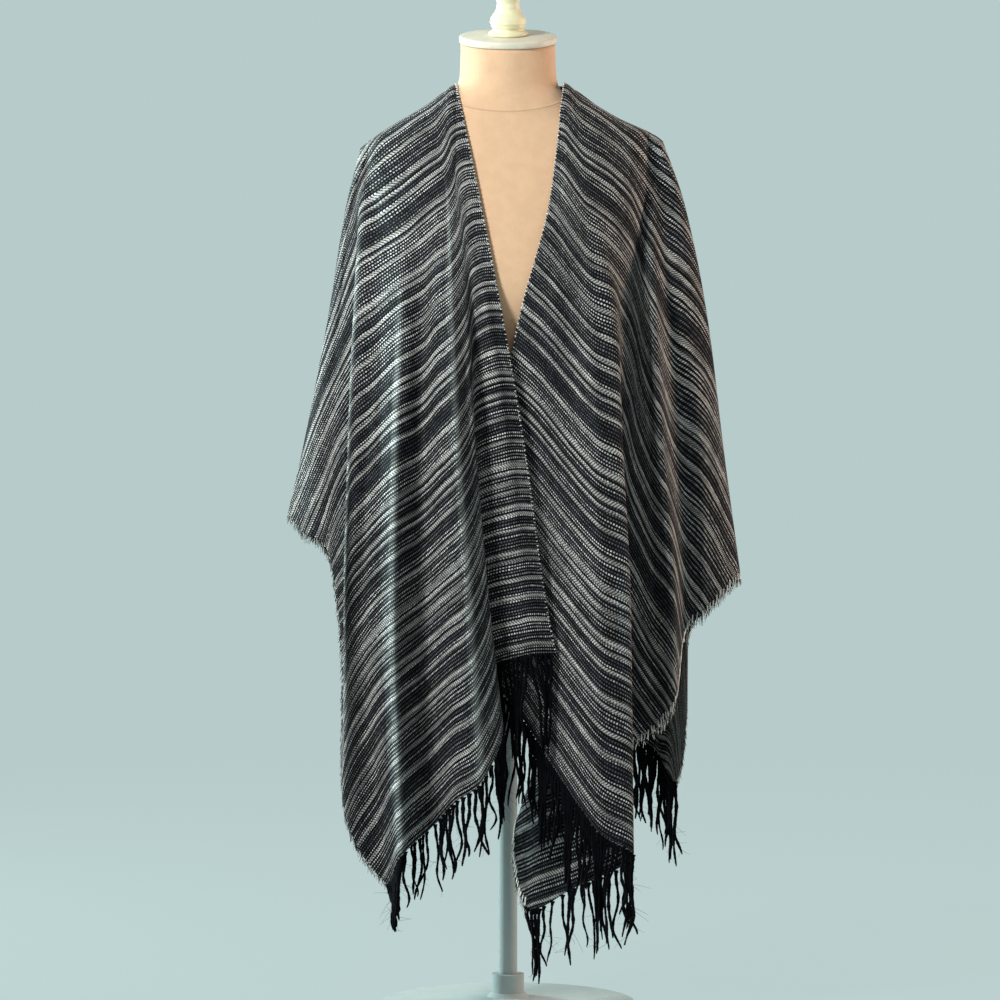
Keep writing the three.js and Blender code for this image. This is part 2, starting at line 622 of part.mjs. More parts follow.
const capProfile = [
  { r: 0, z: 0 },
  { r: CAP_RADIUS - CAP_EDGE, z: 0 },
  { r: CAP_RADIUS, z: CAP_EDGE },
  { r: CAP_RADIUS, z: CAP_HEIGHT - CAP_EDGE },
  { r: CAP_RADIUS - CAP_EDGE, z: CAP_HEIGHT },
  { r: 0, z: CAP_HEIGHT },
];
const finialProfile = [
  { r: 0, z: 0 },
  { r: 22.5, z: 0 },
  { r: 23.5, z: 2 },
  { r: 22.5, z: 4.5 },
  { r: 19, z: 6 },
  { r: 18, z: 8.5 },
  { r: 20.5, z: 12 },
  { r: 21.5, z: 16 },
  { r: 20.5, z: 21 },
  { r: 16, z: 27 },
  { r: 13.5, z: 33 },
  { r: 13, z: 39 },
  { r: 15, z: 46 },
  { r: 15.5, z: 52 },
  { r: 13.5, z: 58 },
  { r: 8, z: 62.5 },
  { r: 0, z: 64 },
];
const neckTop = new THREE.Group();
neckTop.position.set(0, 0, NECK_TOP);
neckTop.rotation.x = NECK_TILT;
cape.add(neckTop);
const cap = addMesh("neck_cap", turned(capProfile, CAP_AROUND), wood);
cap.position.z = SEAM_GAP;
neckTop.add(cap);
const finial = addMesh("finial", turned(finialProfile, FINIAL_AROUND), wood);
finial.position.z = 2 * SEAM_GAP + CAP_HEIGHT;
neckTop.add(finial);

const baseProfile = [
  { r: 0, z: 0 },
  { r: BASE_RADIUS, z: 0 },
  { r: BASE_RADIUS, z: BASE_EDGE_HEIGHT },
  { r: COLLAR_RADIUS + COLLAR_FLARE, z: BASE_CENTRE_HEIGHT },
  { r: COLLAR_RADIUS, z: BASE_CENTRE_HEIGHT + COLLAR_RISE },
  { r: COLLAR_RADIUS, z: COLLAR_TOP },
  { r: 0, z: COLLAR_TOP },
];
addMesh("stand_base", turned(baseProfile, STAND_AROUND), wood);
const poleBottom = COLLAR_TOP + SEAM_GAP;
const poleTop = formRings[0].z - SEAM_GAP;
const poleProfile = [
  { r: 0, z: poleBottom },
  { r: POLE_RADIUS, z: poleBottom },
  { r: POLE_RADIUS, z: poleTop },
  { r: 0, z: poleTop },
];
addMesh("stand_pole", turned(poleProfile, POLE_AROUND), wood);

export default cape;
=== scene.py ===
import math
import random

import bpy
import numpy as np
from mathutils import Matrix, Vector


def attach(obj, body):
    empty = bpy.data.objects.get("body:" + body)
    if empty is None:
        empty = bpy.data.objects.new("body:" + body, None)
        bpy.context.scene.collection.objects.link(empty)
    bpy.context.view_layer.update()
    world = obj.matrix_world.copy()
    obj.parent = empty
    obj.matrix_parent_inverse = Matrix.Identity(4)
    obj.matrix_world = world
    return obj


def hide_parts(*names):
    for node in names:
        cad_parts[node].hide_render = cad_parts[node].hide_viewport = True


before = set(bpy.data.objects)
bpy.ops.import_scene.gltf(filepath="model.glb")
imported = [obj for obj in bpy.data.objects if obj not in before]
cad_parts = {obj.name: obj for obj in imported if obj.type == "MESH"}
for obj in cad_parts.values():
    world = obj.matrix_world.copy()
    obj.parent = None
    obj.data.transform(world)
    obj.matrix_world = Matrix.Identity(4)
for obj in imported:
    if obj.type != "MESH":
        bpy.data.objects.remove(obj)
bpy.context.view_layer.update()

bl_info = {
    "name": "Woven cape on a dress form",
    "version": (1, 0, 0),
    "blender": (4, 5, 0),
    "location": "3D View > Sidebar > Cape",
    "description": "Builds the looks of a woven fringed cape worn on a limbless dress form",
    "category": "Object",
}

MM = 0.001

# Cloth rules, in millimetres
SEAM_GAP = 0.3
REST_GAP = 1.3
SOFTENING = 4
LIFT_FADE = 880
LIFT_FULL = 1010
HANG_GAP = 1.6
BACK_EASE = 1.4
HANG_FULL = 990
HANG_FROM = 1040
FREE_BELOW = 350
CROWN = 18
NECK_HALF = 62
NECK_BLEND = 5
TOP_SHARE = 0.0025
NECK_FADE = 8
SOFT_GROWTH = 12
SOFT_DEPTH = 20
LEVEL_MARGIN = 20
CREASE_FREE = 12
CHEST = 950
BUST = 815
WAIST = 660
HIP = 485

# Dress form, in millimetres
FORM_SQUARENESS = 2.4
NECK_SQUARENESS = 2
ROUNDER_FROM = 1010
ROUND_FROM = 1083
RIDGE_FROM = 1000
TILT_FROM = 1100
FORM_AROUND = 128
CAP_AROUND = 160
FINIAL_AROUND = 96
NECK_TOP = 1143
NECK_TILT = math.radians(14)

# Half width, front depth and back depth of the form at each height
FORM_RINGS = [
    (440, 146, 96, 98),
    (452, 154, 102, 104),
    (530, 163, 108, 114),
    (600, 150, 100, 106),
    (690, 118, 86, 84),
    (780, 134, 106, 92),
    (850, 148, 120, 97),
    (930, 158, 108, 100),
    (975, 162, 92, 92),
    (1000, 163, 80, 84),
    (1016, 159, 73, 77),
    (1028, 149, 69, 73),
    (1044, 130, 64, 68),
    (1063, 97, 60, 65),
    (1079, 74, 57, 60),
    (1092, 60, 55, 57),
    (1108, 57, 54, 55),
    (1143, 56, 54, 54),
]

# Place across and height of the shoulder fold
SHOULDER_LINE = [
    (-192, 990),
    (-174, 1018),
    (-159, 1030),
    (-135, 1046),
    (-101, 1066),
    (-78, 1082),
    (-61, 1094),
    (0, 1096),
    (66, 1095),
    (84, 1082),
    (107, 1067),
    (133, 1052),
    (160, 1040),
    (181, 1028),
    (192, 1013),
]

# Each row is one crest or trough, from the shoulder fold to its end on the hem or the side edge
FOLD_COLUMNS = (
    "top", "chest", "bust", "waist", "hip", "end_x", "end_z", "out_bust", "out_waist", "out_end",
)
LEFT_FRONT = [
    (-61, -32, -6, 20, 44, 55, 429, 129, 136, 140),
    (-68, -44, -23, -3, 16, 20, 427, 133, 143, 150),
    (-76, -54, -41, -40, -37, -23, 406, 130, 134, 124),
    (-84, -60, -49, -38, -22, -6, 343, 142, 160, 162),
    (-92, -70, -65, -57, -44, -30, 285, 148, 175, 185),
    (-102, -83, -82, -76, -68, -60, 260, 138, 160, 165),
    (-114, -99, -98, -99, -98, -85, 229, 118, 125, 120),
    (-128, -122, -125, -130, -132, -122, 198, 122, 145, 160),
    (-140, -150, -153, -159, -164, -139, 159, 90, 100, 110),
    (-147, -170, -179, -185, -189, -188, 242, 78, 98, 115),
    (-152, -176, -170, -166, -178, -194, 427, 46, 50, 60),
    (-157, -183, -191, -206, None, -211, 540, 26, 30, 38),
    (-162, -187, -204, -229, None, -240, 562, 12, 16, 18),
    (-174, -191, -213, -243, None, -260, 586, 0, 0, 0),
]
RIGHT_FRONT = [
    (66, 48, 13, -16, -42, -51, 421, 122, 120, 108),
    (71, 61, 43, 26, 8, 5, 368, 124, 124, 116),
    (78, 76, 75, 69, 61, 56, 292, 120, 130, 138),
    (84, 90, 98, 103, 105, 103, 226, 125, 148, 160),
    (92, 104, 123, 131, 140, 143, 195, 118, 140, 150),
    (103, 122, 131, 122, 108, 78, 156, 82, 116, 112),
    (113, 133, 140, 119, 75, 21, 132, 66, 106, 92),
    (122, 143, 147, 133, 96, 13, 234, 56, 92, 74),
    (132, 152, 156, 150, 140, 108, 292, 52, 78, 62),
    (141, 159, 164, 166, 168, 166, 330, 60, 76, 64),
    (150, 167, 172, 179, 192, 193, 366, 68, 92, 84),
    (160, 180, 187, 197, 206, 206, 443, 40, 42, 38),
    (168, 194, 210, 227, None, 231, 469, 30, 34, 34),
    (176, 203, 227, 246, None, 257, 495, 12, 15, 14),
    (183, 209, 236, 255, None, 275, 511, 0, 0, 0),
]
WHOLE_BACK = [
    (-174, -191, -213, -243, None, -260, 586, 0, 0, 0),
    (-163, -188, -205, -229, None, -238, 563, 13, 18, 20),
    (-157, -181, -190, -205, None, -207, 520, 46, 54, 55),
    (-151, -173, -175, -182, -185, -186, 420, 38, 44, 54),
    (-143, -162, -162, -168, -171, -166, 290, 84, 94, 96),
    (-131, -142, -140, -141, -142, -138, 302, 92, 88, 84),
    (-116, -116, -116, -118, -118, -112, 335, 118, 132, 146),
    (-94, -90, -88, -86, -84, -80, 375, 114, 116, 112),
    (-74, -66, -62, -60, -58, -54, 412, 120, 128, 134),
    (-50, -42, -36, -34, -33, -31, 437, 115, 114, 112),
    (-20, -12, -4, 0, 3, 4, 448, 126, 144, 158),
    (15, 20, 26, 30, 32, 36, 440, 116, 117, 118),
    (46, 48, 50, 52, 53, 57, 425, 122, 130, 136),
    (78, 82, 84, 86, 87, 92, 385, 111, 104, 98),
    (105, 112, 116, 120, 124, 128, 350, 118, 134, 146),
    (128, 138, 141, 145, 150, 152, 318, 88, 80, 72),
    (146, 157, 163, 171, 178, 181, 292, 88, 98, 104),
    (158, 172, 180, 191, 200, 202, 262, 50, 54, 60),
    (166, 183, 193, 205, 212, 213, 330, 28, 30, 33),
    (172, 191, 206, 220, 219, 217, 440, 40, 48, 50),
    (178, 201, 222, 241, None, 248, 496, 13, 18, 20),
    (183, 209, 236, 255, None, 275, 511, 0, 0, 0),
]

# Small creases: place across in folds, lean, first and last share down, width in folds, and
# depth, where a trough is negative
CREASE_COLUMNS = ("at", "lean", "first", "last", "width", "depth")
LEFT_CREASES = [
    (1.0, 0.0, 0.10, 1.10, 0.30, 5.0),
    (4.1, 0.0, 0.08, 1.30, 0.26, 7.0),
    (4.15, 0.0, 0.10, 1.30, 0.13, 4.0),
    (3.4, 0.0, 0.20, 1.20, 0.30, -5.0),
    (7.0, 0.0, 0.15, 1.40, 0.24, 7.0),
    (7.05, 0.0, 0.20, 1.40, 0.12, 4.5),
    (6.3, 0.0, 0.30, 1.20, 0.35, -5.0),
    (9.0, 0.0, 0.15, 1.30, 0.26, 5.0),
    (9.05, 0.0, 0.15, 1.40, 0.13, 4.0),
    (8.3, 0.0, 0.30, 1.20, 0.35, -4.0),
    (1.6, 0.5, 0.12, 0.55, 0.22, 2.2),
    (3.4, 0.4, 0.30, 0.95, 0.20, -3.0),
    (4.6, -0.5, 0.10, 0.48, 0.18, 2.0),
    (5.5, 0.5, 0.45, 1.00, 0.25, -3.2),
    (6.6, -0.3, 0.18, 0.62, 0.20, 2.4),
    (7.5, 0.6, 0.40, 1.00, 0.22, -2.8),
    (8.4, -0.4, 0.25, 0.80, 0.25, 3.0),
    (9.5, 0.3, 0.08, 0.50, 0.22, -2.2),
    (10.6, 0.5, 0.30, 0.90, 0.25, 2.6),
    (11.5, -0.3, 0.15, 0.70, 0.25, -2.0),
    (12.4, 0.3, 0.35, 0.95, 0.30, 1.6),
]
RIGHT_CREASES = [
    (3.0, 0.0, 0.15, 1.10, 0.30, 4.0),
    (10.0, 0.0, 0.25, 1.10, 0.30, 4.0),
    (4.6, 0.0, 0.30, 1.20, 0.30, 3.5),
    (1.3, 0.4, 0.10, 0.50, 0.22, 2.4),
    (1.7, 0.5, 0.45, 1.00, 0.22, -2.6),
    (2.6, -0.4, 0.20, 0.75, 0.20, 2.8),
    (3.5, 0.4, 0.50, 1.00, 0.20, -3.0),
    (4.4, 0.4, 0.12, 0.60, 0.20, 2.0),
    (7.5, 0.3, 0.30, 0.90, 0.25, -2.2),
    (9.4, -0.4, 0.20, 0.75, 0.22, 2.6),
    (10.5, 0.3, 0.45, 1.00, 0.25, -2.4),
    (11.5, 0.4, 0.15, 0.65, 0.25, 2.2),
    (12.6, -0.3, 0.30, 0.95, 0.28, -2.0),
]
BACK_CREASES = [
    (1.5, 0.3, 0.25, 0.80, 0.25, 2.0),
    (2.6, -0.3, 0.15, 0.60, 0.25, -2.2),
    (4.5, 0.4, 0.30, 0.90, 0.22, 2.6),
    (6.4, -0.4, 0.10, 0.55, 0.22, -2.6),
    (8.6, 0.5, 0.40, 1.00, 0.25, 3.0),
    (10.5, -0.4, 0.15, 0.70, 0.25, -2.4),
    (12.4, 0.4, 0.35, 0.95, 0.22, 2.8),
    (14.5, 0.3, 0.12, 0.65, 0.22, -2.6),
    (16.5, -0.3, 0.40, 1.00, 0.22, 2.4),
    (18.5, 0.4, 0.20, 0.75, 0.25, -2.2),
    (19.6, -0.3, 0.35, 0.90, 0.25, 1.8),
]

# Crests with a painted highlight, their raised threads lightened as if the light caught them: place
# across in folds, first and last share down, width in folds and strength
HIGHLIGHT_COLUMNS = ("at", "first", "last", "width", "strength")
LEFT_PAINTED_HIGHLIGHTS = [
    (4.0, 0.08, 1.10, 0.12, 0.85),
    (7.0, 0.20, 1.15, 0.10, 0.95),
    (9.0, 0.10, 0.95, 0.13, 0.70),
]
RIGHT_PAINTED_HIGHLIGHTS = [
    (3.0, 0.10, 0.60, 0.12, 0.30),
    (10.0, 0.30, 0.95, 0.12, 0.40),
]

# Fringe bundles: share along the hem, how wide a stretch joins it, and the length of its strands
BUNDLE_COLUMNS = ("at", "reach", "length")
LEFT_BUNDLES = [
    (0.02, 0.030, 118),
    (0.10, 0.035, 124),
    (0.19, 0.030, 116),
    (0.285, 0.045, 112),
    (0.36, 0.020, 104),
    (0.915, 0.085, 60),
]
RIGHT_BUNDLES = [
    (0.03, 0.030, 112),
    (0.12, 0.035, 120),
    (0.30, 0.030, 118),
    (0.42, 0.035, 124),
    (0.555, 0.050, 118),
    (0.78, 0.020, 92),
    (0.965, 0.030, 88),
]
BACK_BUNDLES = [
    (0.02, 0.030, 108),
    (0.14, 0.030, 98),
    (0.27, 0.025, 104),
    (0.41, 0.030, 96),
    (0.55, 0.025, 104),
    (0.68, 0.030, 98),
    (0.80, 0.014, 104),
    (0.90, 0.012, 104),
    (0.97, 0.012, 106),
]

# The three panels. The hem runs from its first to its last fold and lengths are those of its strands
# at both ends. Flat sizes are in metres, and outline_rise says how far down the flat cloth a side
# edge ends. Strands stand closer until the share dense_until, by the factor crowding.
PANELS = [
    {
        "node": "front_left", "piece": "woven_front_left", "folds": LEFT_FRONT,
        "creases": LEFT_CREASES, "painted_highlight": LEFT_PAINTED_HIGHLIGHTS, "bundles": LEFT_BUNDLES, "side": -1, "steps": 13,
        "hem": (0, 8), "lengths": (110, 62), "flat": (0.48, 0.69), "slit": 0,
        "outline_rise": (0, 150), "dense_until": 0.22, "crowding": 0.50, "stitched_edge": False,
    },
    {
        "node": "front_right", "piece": "woven_front_right", "folds": RIGHT_FRONT,
        "creases": RIGHT_CREASES, "painted_highlight": RIGHT_PAINTED_HIGHLIGHTS, "bundles": RIGHT_BUNDLES, "side": -1, "steps": 13,
        "hem": (0, 6), "lengths": (112, 86), "flat": (0.47, 0.69), "slit": 0,
        "outline_rise": (0, 230), "dense_until": 0.70, "crowding": 0.45, "stitched_edge": True,
    },
    {
        "node": "back", "piece": "woven_back", "folds": WHOLE_BACK,
        "creases": BACK_CREASES, "painted_highlight": [], "bundles": BACK_BUNDLES, "side": 1, "steps": 9,
        "hem": (4, 17), "lengths": (102, 104), "flat": (0.95, 0.63), "slit": None,
        "outline_rise": (-150, -230), "dense_until": 1.0, "crowding": 0.36, "stitched_edge": False,
    },
]

# Rows of a panel, crowded towards the shoulder fold, and soft edges in folds and in shares down
ROWS_DOWN = 150
ROW_CROWDING = 1.7
CREASE_EDGE = (0.1, 0.9)
# Soft ends, in shares down, of the painted crest highlights
HIGHLIGHT_FADE = 0.15

# Fringe strands and loose fibres, in millimetres and shares, from least to most
HEM_MARGIN = 2.0
STRAND_STEPS = 34
STRAND_ROOT = 2
STRAND_LENGTHS = (0.78, 1.08)
STRAND_SWAY = (2.0, 6.5)
STRAND_RADIUS = (1.8, 2.8)
STRAND_TAPER = 0.35
STRAND_SQUASH = 0.8
STRAND_TURNS = 0.09
STRAND_ROOT_SWELL = (1.5, 1.3, 1.1)
STRAND_TIP_TAPER = (0.9, 0.75, 0.45)
BUNDLE_LENGTHS = (0.9, 1.02)
BUNDLE_PULL = (0.62, 0.70, 0.25)
FIBRES_PER_STRAND = 2
FIBRE_RADIUS = 0.22

# Weft ends, slit loops and edge stitches, in millimetres
WEFT_ROOT = 0.8
WEFT_RADIUS = (0.35, 0.65)
DARK_WEFT_SPACING = 1.1
PALE_WEFT_SPACING = 2.4
PALE_WEFT_THICKER = 1.3
LOOP_INSET = 1.4
LOOP_REACH = 2.0
LOOP_HEIGHT = 1.45
STITCH_HEIGHT = 1.7
STITCH_OVERHANG = 1.2

# Sheen of the dark and the pale yarn
DARK_SHEEN = 0.01
PALE_SHEEN = 0.3

# First seeds of the random draws, one more for each panel
STRAND_SEED = 11
DARK_WEFT_SEED = 31
PALE_WEFT_SEED = 41
LOOP_SEED = 51
STITCH_SEED = 61
FIBRE_SEED = 71


def named_rows(columns, rows):
    """Rows of a table as dictionaries with the columns' names."""
    return [dict(zip(columns, row)) for row in rows]


def smoothstep(value, low, high):
    """0 below low, 1 above high and eased between."""
    share = np.clip((np.asarray(value, float) - low) / (high - low), 0, 1)
    return share * share * (3 - 2 * share)


def smooth_along(keys, values, at):
    """Values at places along a list of keys, eased so that they never overshoot."""
    keys = np.asarray(keys, float)
    values = np.asarray(values, float)
    at = np.clip(np.asarray(at, float), keys[0], keys[-1])
    slopes = np.diff(values) / np.diff(keys)
    tangents = np.concatenate([slopes[:1], np.zeros(len(keys) - 2), slopes[-1:]])
    before, after = slopes[:-1], slopes[1:]
    alike = before * after > 0
    total = np.where(alike, before + after, 1)
    tangents[1:-1] = np.where(alike, 2 * before * after / total, 0)
    i = np.clip(np.searchsorted(keys, at) - 1, 0, len(keys) - 2)
    span = keys[i + 1] - keys[i]
    f = (at - keys[i]) / span
    start = (1 + 2 * f) * (1 - f) ** 2 * values[i] + f * (1 - f) ** 2 * span * tangents[i]
    end = f * f * (3 - 2 * f) * values[i + 1] + f * f * (f - 1) * span * tangents[i + 1]
    return start + end


RING_HEIGHTS, RING_HALVES, RING_FRONTS, RING_BACKS = zip(*FORM_RINGS)
SHOULDER_ACROSS, SHOULDER_HEIGHTS = zip(*SHOULDER_LINE)
RIDGE = [(half, z) for z, half, *_ in reversed(FORM_RINGS) if z >= RIDGE_FROM]
RIDGE_HALVES, RIDGE_HEIGHTS = zip(*sorted(RIDGE))


def squareness(z):
    """Power of the form's rounded section, round at the neck and fuller below."""
    rounder = smoothstep(z, ROUNDER_FROM, ROUND_FROM)
    return FORM_SQUARENESS + (NECK_SQUARENESS - FORM_SQUARENESS) * rounder


def form_depth(x, z, side, clearance):
    """How far the form reaches out from the middle plane."""
    half = smooth_along(RING_HEIGHTS, RING_HALVES, z) + clearance
    depth = smooth_along(RING_HEIGHTS, RING_FRONTS if side < 0 else RING_BACKS, z) + clearance
    across = np.minimum(1, np.abs(x) / half)
    power = squareness(z)
    return depth * (1 - across ** power) ** (1 / power)


def clearance_at(z, side):
    """Distance kept between the form and the middle of the cloth."""
    hanging = 1 - smoothstep(z, HANG_FULL, HANG_FROM)
    return 1 + REST_GAP + HANG_GAP * hanging + (BACK_EASE if side > 0 else 0)


def carried_depth(x, z, side):
    """How far out the form holds the cloth, which falls free below the form's end."""
    shoulder = smooth_along(SHOULDER_ACROSS, SHOULDER_HEIGHTS, x)
    ridge = smooth_along(RIDGE_HALVES, RIDGE_HEIGHTS, np.abs(x) - clearance_at(shoulder, side))
    lift = np.maximum(0, shoulder - ridge) * smoothstep(z, LIFT_FADE, LIFT_FULL)
    clearance = clearance_at(z, side)
    lifted = form_depth(x, z - lift, side, clearance)
    plain = form_depth(x, z, side, clearance)
    return np.maximum(lifted, plain) * smoothstep(z, FREE_BELOW, FORM_RINGS[0][0])


def fold_line(row, side, t):
    """Across, height and stand-off of one crest or trough at shares t of its way down."""
    top_z = float(smooth_along(SHOULDER_ACROSS, SHOULDER_HEIGHTS, row["top"]))
    levels = [
        (HIP, row["hip"], None),
        (WAIST, row["waist"], row["out_waist"]),
        (BUST, row["bust"], row["out_bust"]),
        (CHEST, row["chest"], None),
    ]
    lowest = row["end_z"] + LEVEL_MARGIN
    levels = [level for level in levels if level[1] is not None and level[0] > lowest]
    path = [(row["end_z"], row["end_x"], row["out_end"]), *levels, (top_z, row["top"], 0)]
    depths = [(z, out) for z, x, out in path if out is not None]
    behind_neck = side > 0 and abs(row["top"]) < NECK_HALF
    top_out = float(form_depth(row["top"], top_z, side, 0)) if behind_neck else 0
    z = top_z + (row["end_z"] - top_z) * t
    x = smooth_along([p[0] for p in path], [p[1] for p in path], z)
    stated = smooth_along([p[0] for p in depths], [p[1] for p in depths], z)
    fallen = np.clip((top_z - z) / CROWN, 0, 1)
    crown = 0 * z if row["out_end"] == 0 else CROWN * np.sqrt(fallen * (2 - fallen))
    wanted = np.maximum(top_out * np.maximum(0, 1 - NECK_FADE * t), np.hypot(stated, crown))
    return np.array([x, z, wanted])


def with_lines_beyond(lines, folds):
    """The lines with one more at each side: mirrored at a folded edge, straight on at a free one."""
    def beyond(edge, following, closes):
        if closes:
            return following * np.array([1, 1, -1])[:, None]
        return 2 * edge - following
    first = beyond(lines[0], lines[1], folds[0]["out_end"] == 0)
    last = beyond(lines[-1], lines[-2], folds[-1]["out_end"] == 0)
    return np.array([first, *lines, last])


def blend_across(rows, s):
    """Rows of values blended at the places s by a curve through them all, with a row beyond each end."""
    i = np.clip(np.floor(s).astype(int), 0, len(rows) - 4)
    f = (s - i).reshape(-1, *([1] * (rows.ndim - 1)))
    a, b, c, d = rows[i], rows[i + 1], rows[i + 2], rows[i + 3]
    slope = (c - a) * f
    bend = (2 * a - 5 * b + 4 * c - d) * f ** 2
    turn = (3 * b - a - 3 * c + d) * f ** 3
    return 0.5 * (2 * b + slope + bend + turn)


def panel_middle(panel, s, t):
    """Middle surface of a panel as a grid of points, in millimetres."""
    side = panel["side"]
    folds = named_rows(FOLD_COLUMNS, panel["folds"])
    lines = with_lines_beyond([fold_line(row, side, t) for row in folds], folds)
    blended = blend_across(lines, s)
    x, z, wanted = blended[:, 0], blended[:, 1], blended[:, 2]
    outward = smoothstep(np.abs(x), NECK_HALF - NECK_BLEND, NECK_HALF + NECK_BLEND)
    behind_neck = (1 - outward) if side > 0 else 0 * x
    spread = np.maximum(behind_neck, np.minimum(1, np.sqrt(t / TOP_SHARE)))
    carried = carried_depth(x, z, side) * spread
    soft = SOFTENING * np.minimum(1, SOFT_GROWTH * t) * np.minimum(1, carried / SOFT_DEPTH)
    out = 0.5 * (wanted + carried + np.hypot(wanted - carried, soft))
    out += crease_relief(panel, s, t) * smoothstep(out - carried, 0, CREASE_FREE)
    return np.stack([x, side * out, z], axis=-1)


def crease_relief(panel, s, t):
    """Small soft ridges and troughs, fading out at the panel's own edges."""
    relief = np.zeros((len(s), len(t)))
    last = len(panel["folds"]) - 1
    for crease in named_rows(CREASE_COLUMNS, panel["creases"]):
        middle = (crease["first"] + crease["last"]) / 2
        half = (crease["last"] - crease["first"]) / 2
        centre = crease["at"] + crease["lean"] * (t - middle)
        along = smoothstep(1 - np.abs(t - middle) / half, 0, 1)
        off = (s[:, None] - centre[None, :]) / crease["width"]
        relief += crease["depth"] * along[None, :] * np.exp(-off * off)
    from_edge = np.minimum(s, last - s)
    return relief * smoothstep(from_edge, *CREASE_EDGE)[:, None]


def painted_crest_highlight(panel, s, t):
    """How strongly a painted highlight lightens the sharpest crests, as if the light caught them."""
    painted_highlight = np.zeros((len(s), len(t)))
    for crest in named_rows(HIGHLIGHT_COLUMNS, panel["painted_highlight"]):
        along = smoothstep(t, crest["first"], crest["first"] + HIGHLIGHT_FADE)
        along *= 1 - smoothstep(t, crest["last"] - HIGHLIGHT_FADE, crest["last"])
        off = (s[:, None] - crest["at"]) / crest["width"]
        painted_highlight = np.maximum(painted_highlight, crest["strength"] * along[None, :] * np.exp(-off * off))
    return painted_highlight


def arc_lengths(points):
    """Length from the first point to each one along a line of points."""
    steps = np.linalg.norm(np.diff(points, axis=0), axis=1)
    return np.concatenate([[0], np.cumsum(steps)])


def at_length(at, along, *rows):
    """Values at one length along a line, for each of several rows of points or ways."""
    return [np.array([np.interp(at, along, row[:, axis]) for axis in range(3)]) for row in rows]


def unit(ways):
    """Rows of ways, each made one long."""
    return ways / np.maximum(np.linalg.norm(ways, axis=-1, keepdims=True), 1e-9)


def flat_places(panel, middle):
    """Where each point of a panel lies in the flat cloth: across from the slit and down from the fold."""
    steps = panel["steps"]
    lines = middle[::steps]
    last = len(lines) - 1
    first_hem, last_hem = panel["hem"]
    hem = arc_lengths(middle[first_hem * steps:last_hem * steps + 1, -1])[::steps]
    shoulder = arc_lengths(middle[:, 0])[::steps]
    lengths = [arc_lengths(line) for line in lines]
    centre = 0 if panel["slit"] == 0 else (first_hem + last_hem) // 2
    length = lengths[centre][-1]
    hem_zero = hem[centre - first_hem]
    start = shoulder - shoulder[centre]
    end_u = np.zeros(last + 1)
    end_v = np.full(last + 1, length)
    end_u[first_hem:last_hem + 1] = hem - hem_zero
    edges = [(last_hem, last, 1)] if first_hem == 0 else [(last_hem, last, 1), (first_hem, 0, -1)]
    for corner, outline, way in edges:
        rise = panel["outline_rise"][0 if way < 0 else 1]
        order = range(corner, outline + way, way)
        columns = middle[min(corner, outline) * steps:max(corner, outline) * steps + 1, -1][::way]
        along = arc_lengths(columns)[::steps]
        reach = start[outline] + way * lengths[outline][-1]
        for i, done in zip(order, along / along[-1]):
            end_u[i] = end_u[corner] + (reach - end_u[corner]) * done
            end_v[i] = length + (rise - length) * done
    places = []
    for i in range(last + 1):
        share = lengths[i] / lengths[i][-1]
        places.append(np.stack([start[i] + (end_u[i] - start[i]) * share, end_v[i] * share]))
    places = np.array([2 * places[0] - places[1], *places, 2 * places[-1] - places[-2]])
    s = np.arange(len(middle)) / steps
    flat = np.moveaxis(blend_across(places, s), 1, -1)
    return flat * np.array([1, -panel["side"]])


def panel_normals(panel, middle):
    """Unit normals of a panel's middle surface, level across the folds that meet another panel."""
    across = np.empty_like(middle)
    across[1:-1] = middle[2:] - middle[:-2]
    across[0] = middle[1] - middle[0]
    across[-1] = middle[-1] - middle[-2]
    down = np.empty_like(middle)
    down[:, 1:-1] = middle[:, 2:] - middle[:, :-2]
    down[:, 0] = middle[:, 1] - middle[:, 0]
    down[:, -1] = middle[:, -1] - middle[:, -2]
    normals = np.cross(across, down)
    on_fold = np.abs(middle[:, 0, 1]) < SEAM_GAP
    normals[on_fold, 0, 1] = 0
    for row, column in ((0, 0), (-1, -1)):
        if panel["folds"][row][-1] == 0:
            normals[column, :, 1] = 0
    sizes = np.linalg.norm(normals, axis=-1, keepdims=True)
    upright = np.array([0, 0, 1.0])
    return np.where(sizes > 1e-9, normals / np.maximum(sizes, 1e-9), upright)


def wall_faces(across, down):
    """Faces of a closed wall between an outer and an inner grid of points."""
    outer = np.arange(across * down).reshape(across, down)
    inner = outer + across * down
    def quads(a, b, c, d):
        return np.stack([a.ravel(), b.ravel(), c.ravel(), d.ravel()], axis=1)
    return np.concatenate([
        quads(outer[:-1, :-1], outer[:-1, 1:], outer[1:, 1:], outer[1:, :-1]),
        quads(inner[:-1, :-1], inner[1:, :-1], inner[1:, 1:], inner[:-1, 1:]),
        quads(outer[:-1, 0], outer[1:, 0], inner[1:, 0], inner[:-1, 0]),
        quads(outer[:-1, -1], inner[:-1, -1], inner[1:, -1], outer[1:, -1]),
        quads(outer[0, :-1], inner[0, :-1], inner[0, 1:], outer[0, 1:]),
        quads(outer[-1, :-1], outer[-1, 1:], inner[-1, 1:], inner[-1, :-1]),
    ])


def add_piece(name, points, faces, material, flat_faces=0):
    """A mesh object from points in millimetres, smooth shaded but for its last flat_faces faces."""
    mesh = bpy.data.meshes.new(name)
    mesh.from_pydata((np.asarray(points) * MM).tolist(), [], faces)
    smooth = len(mesh.polygons) - flat_faces
    mesh.polygons.foreach_set("use_smooth", [True] * smooth + [False] * flat_faces)
    mesh.materials.append(material)
    mesh.update()
    piece = bpy.data.objects.new(name, mesh)
    bpy.context.scene.collection.objects.link(piece)
    return piece


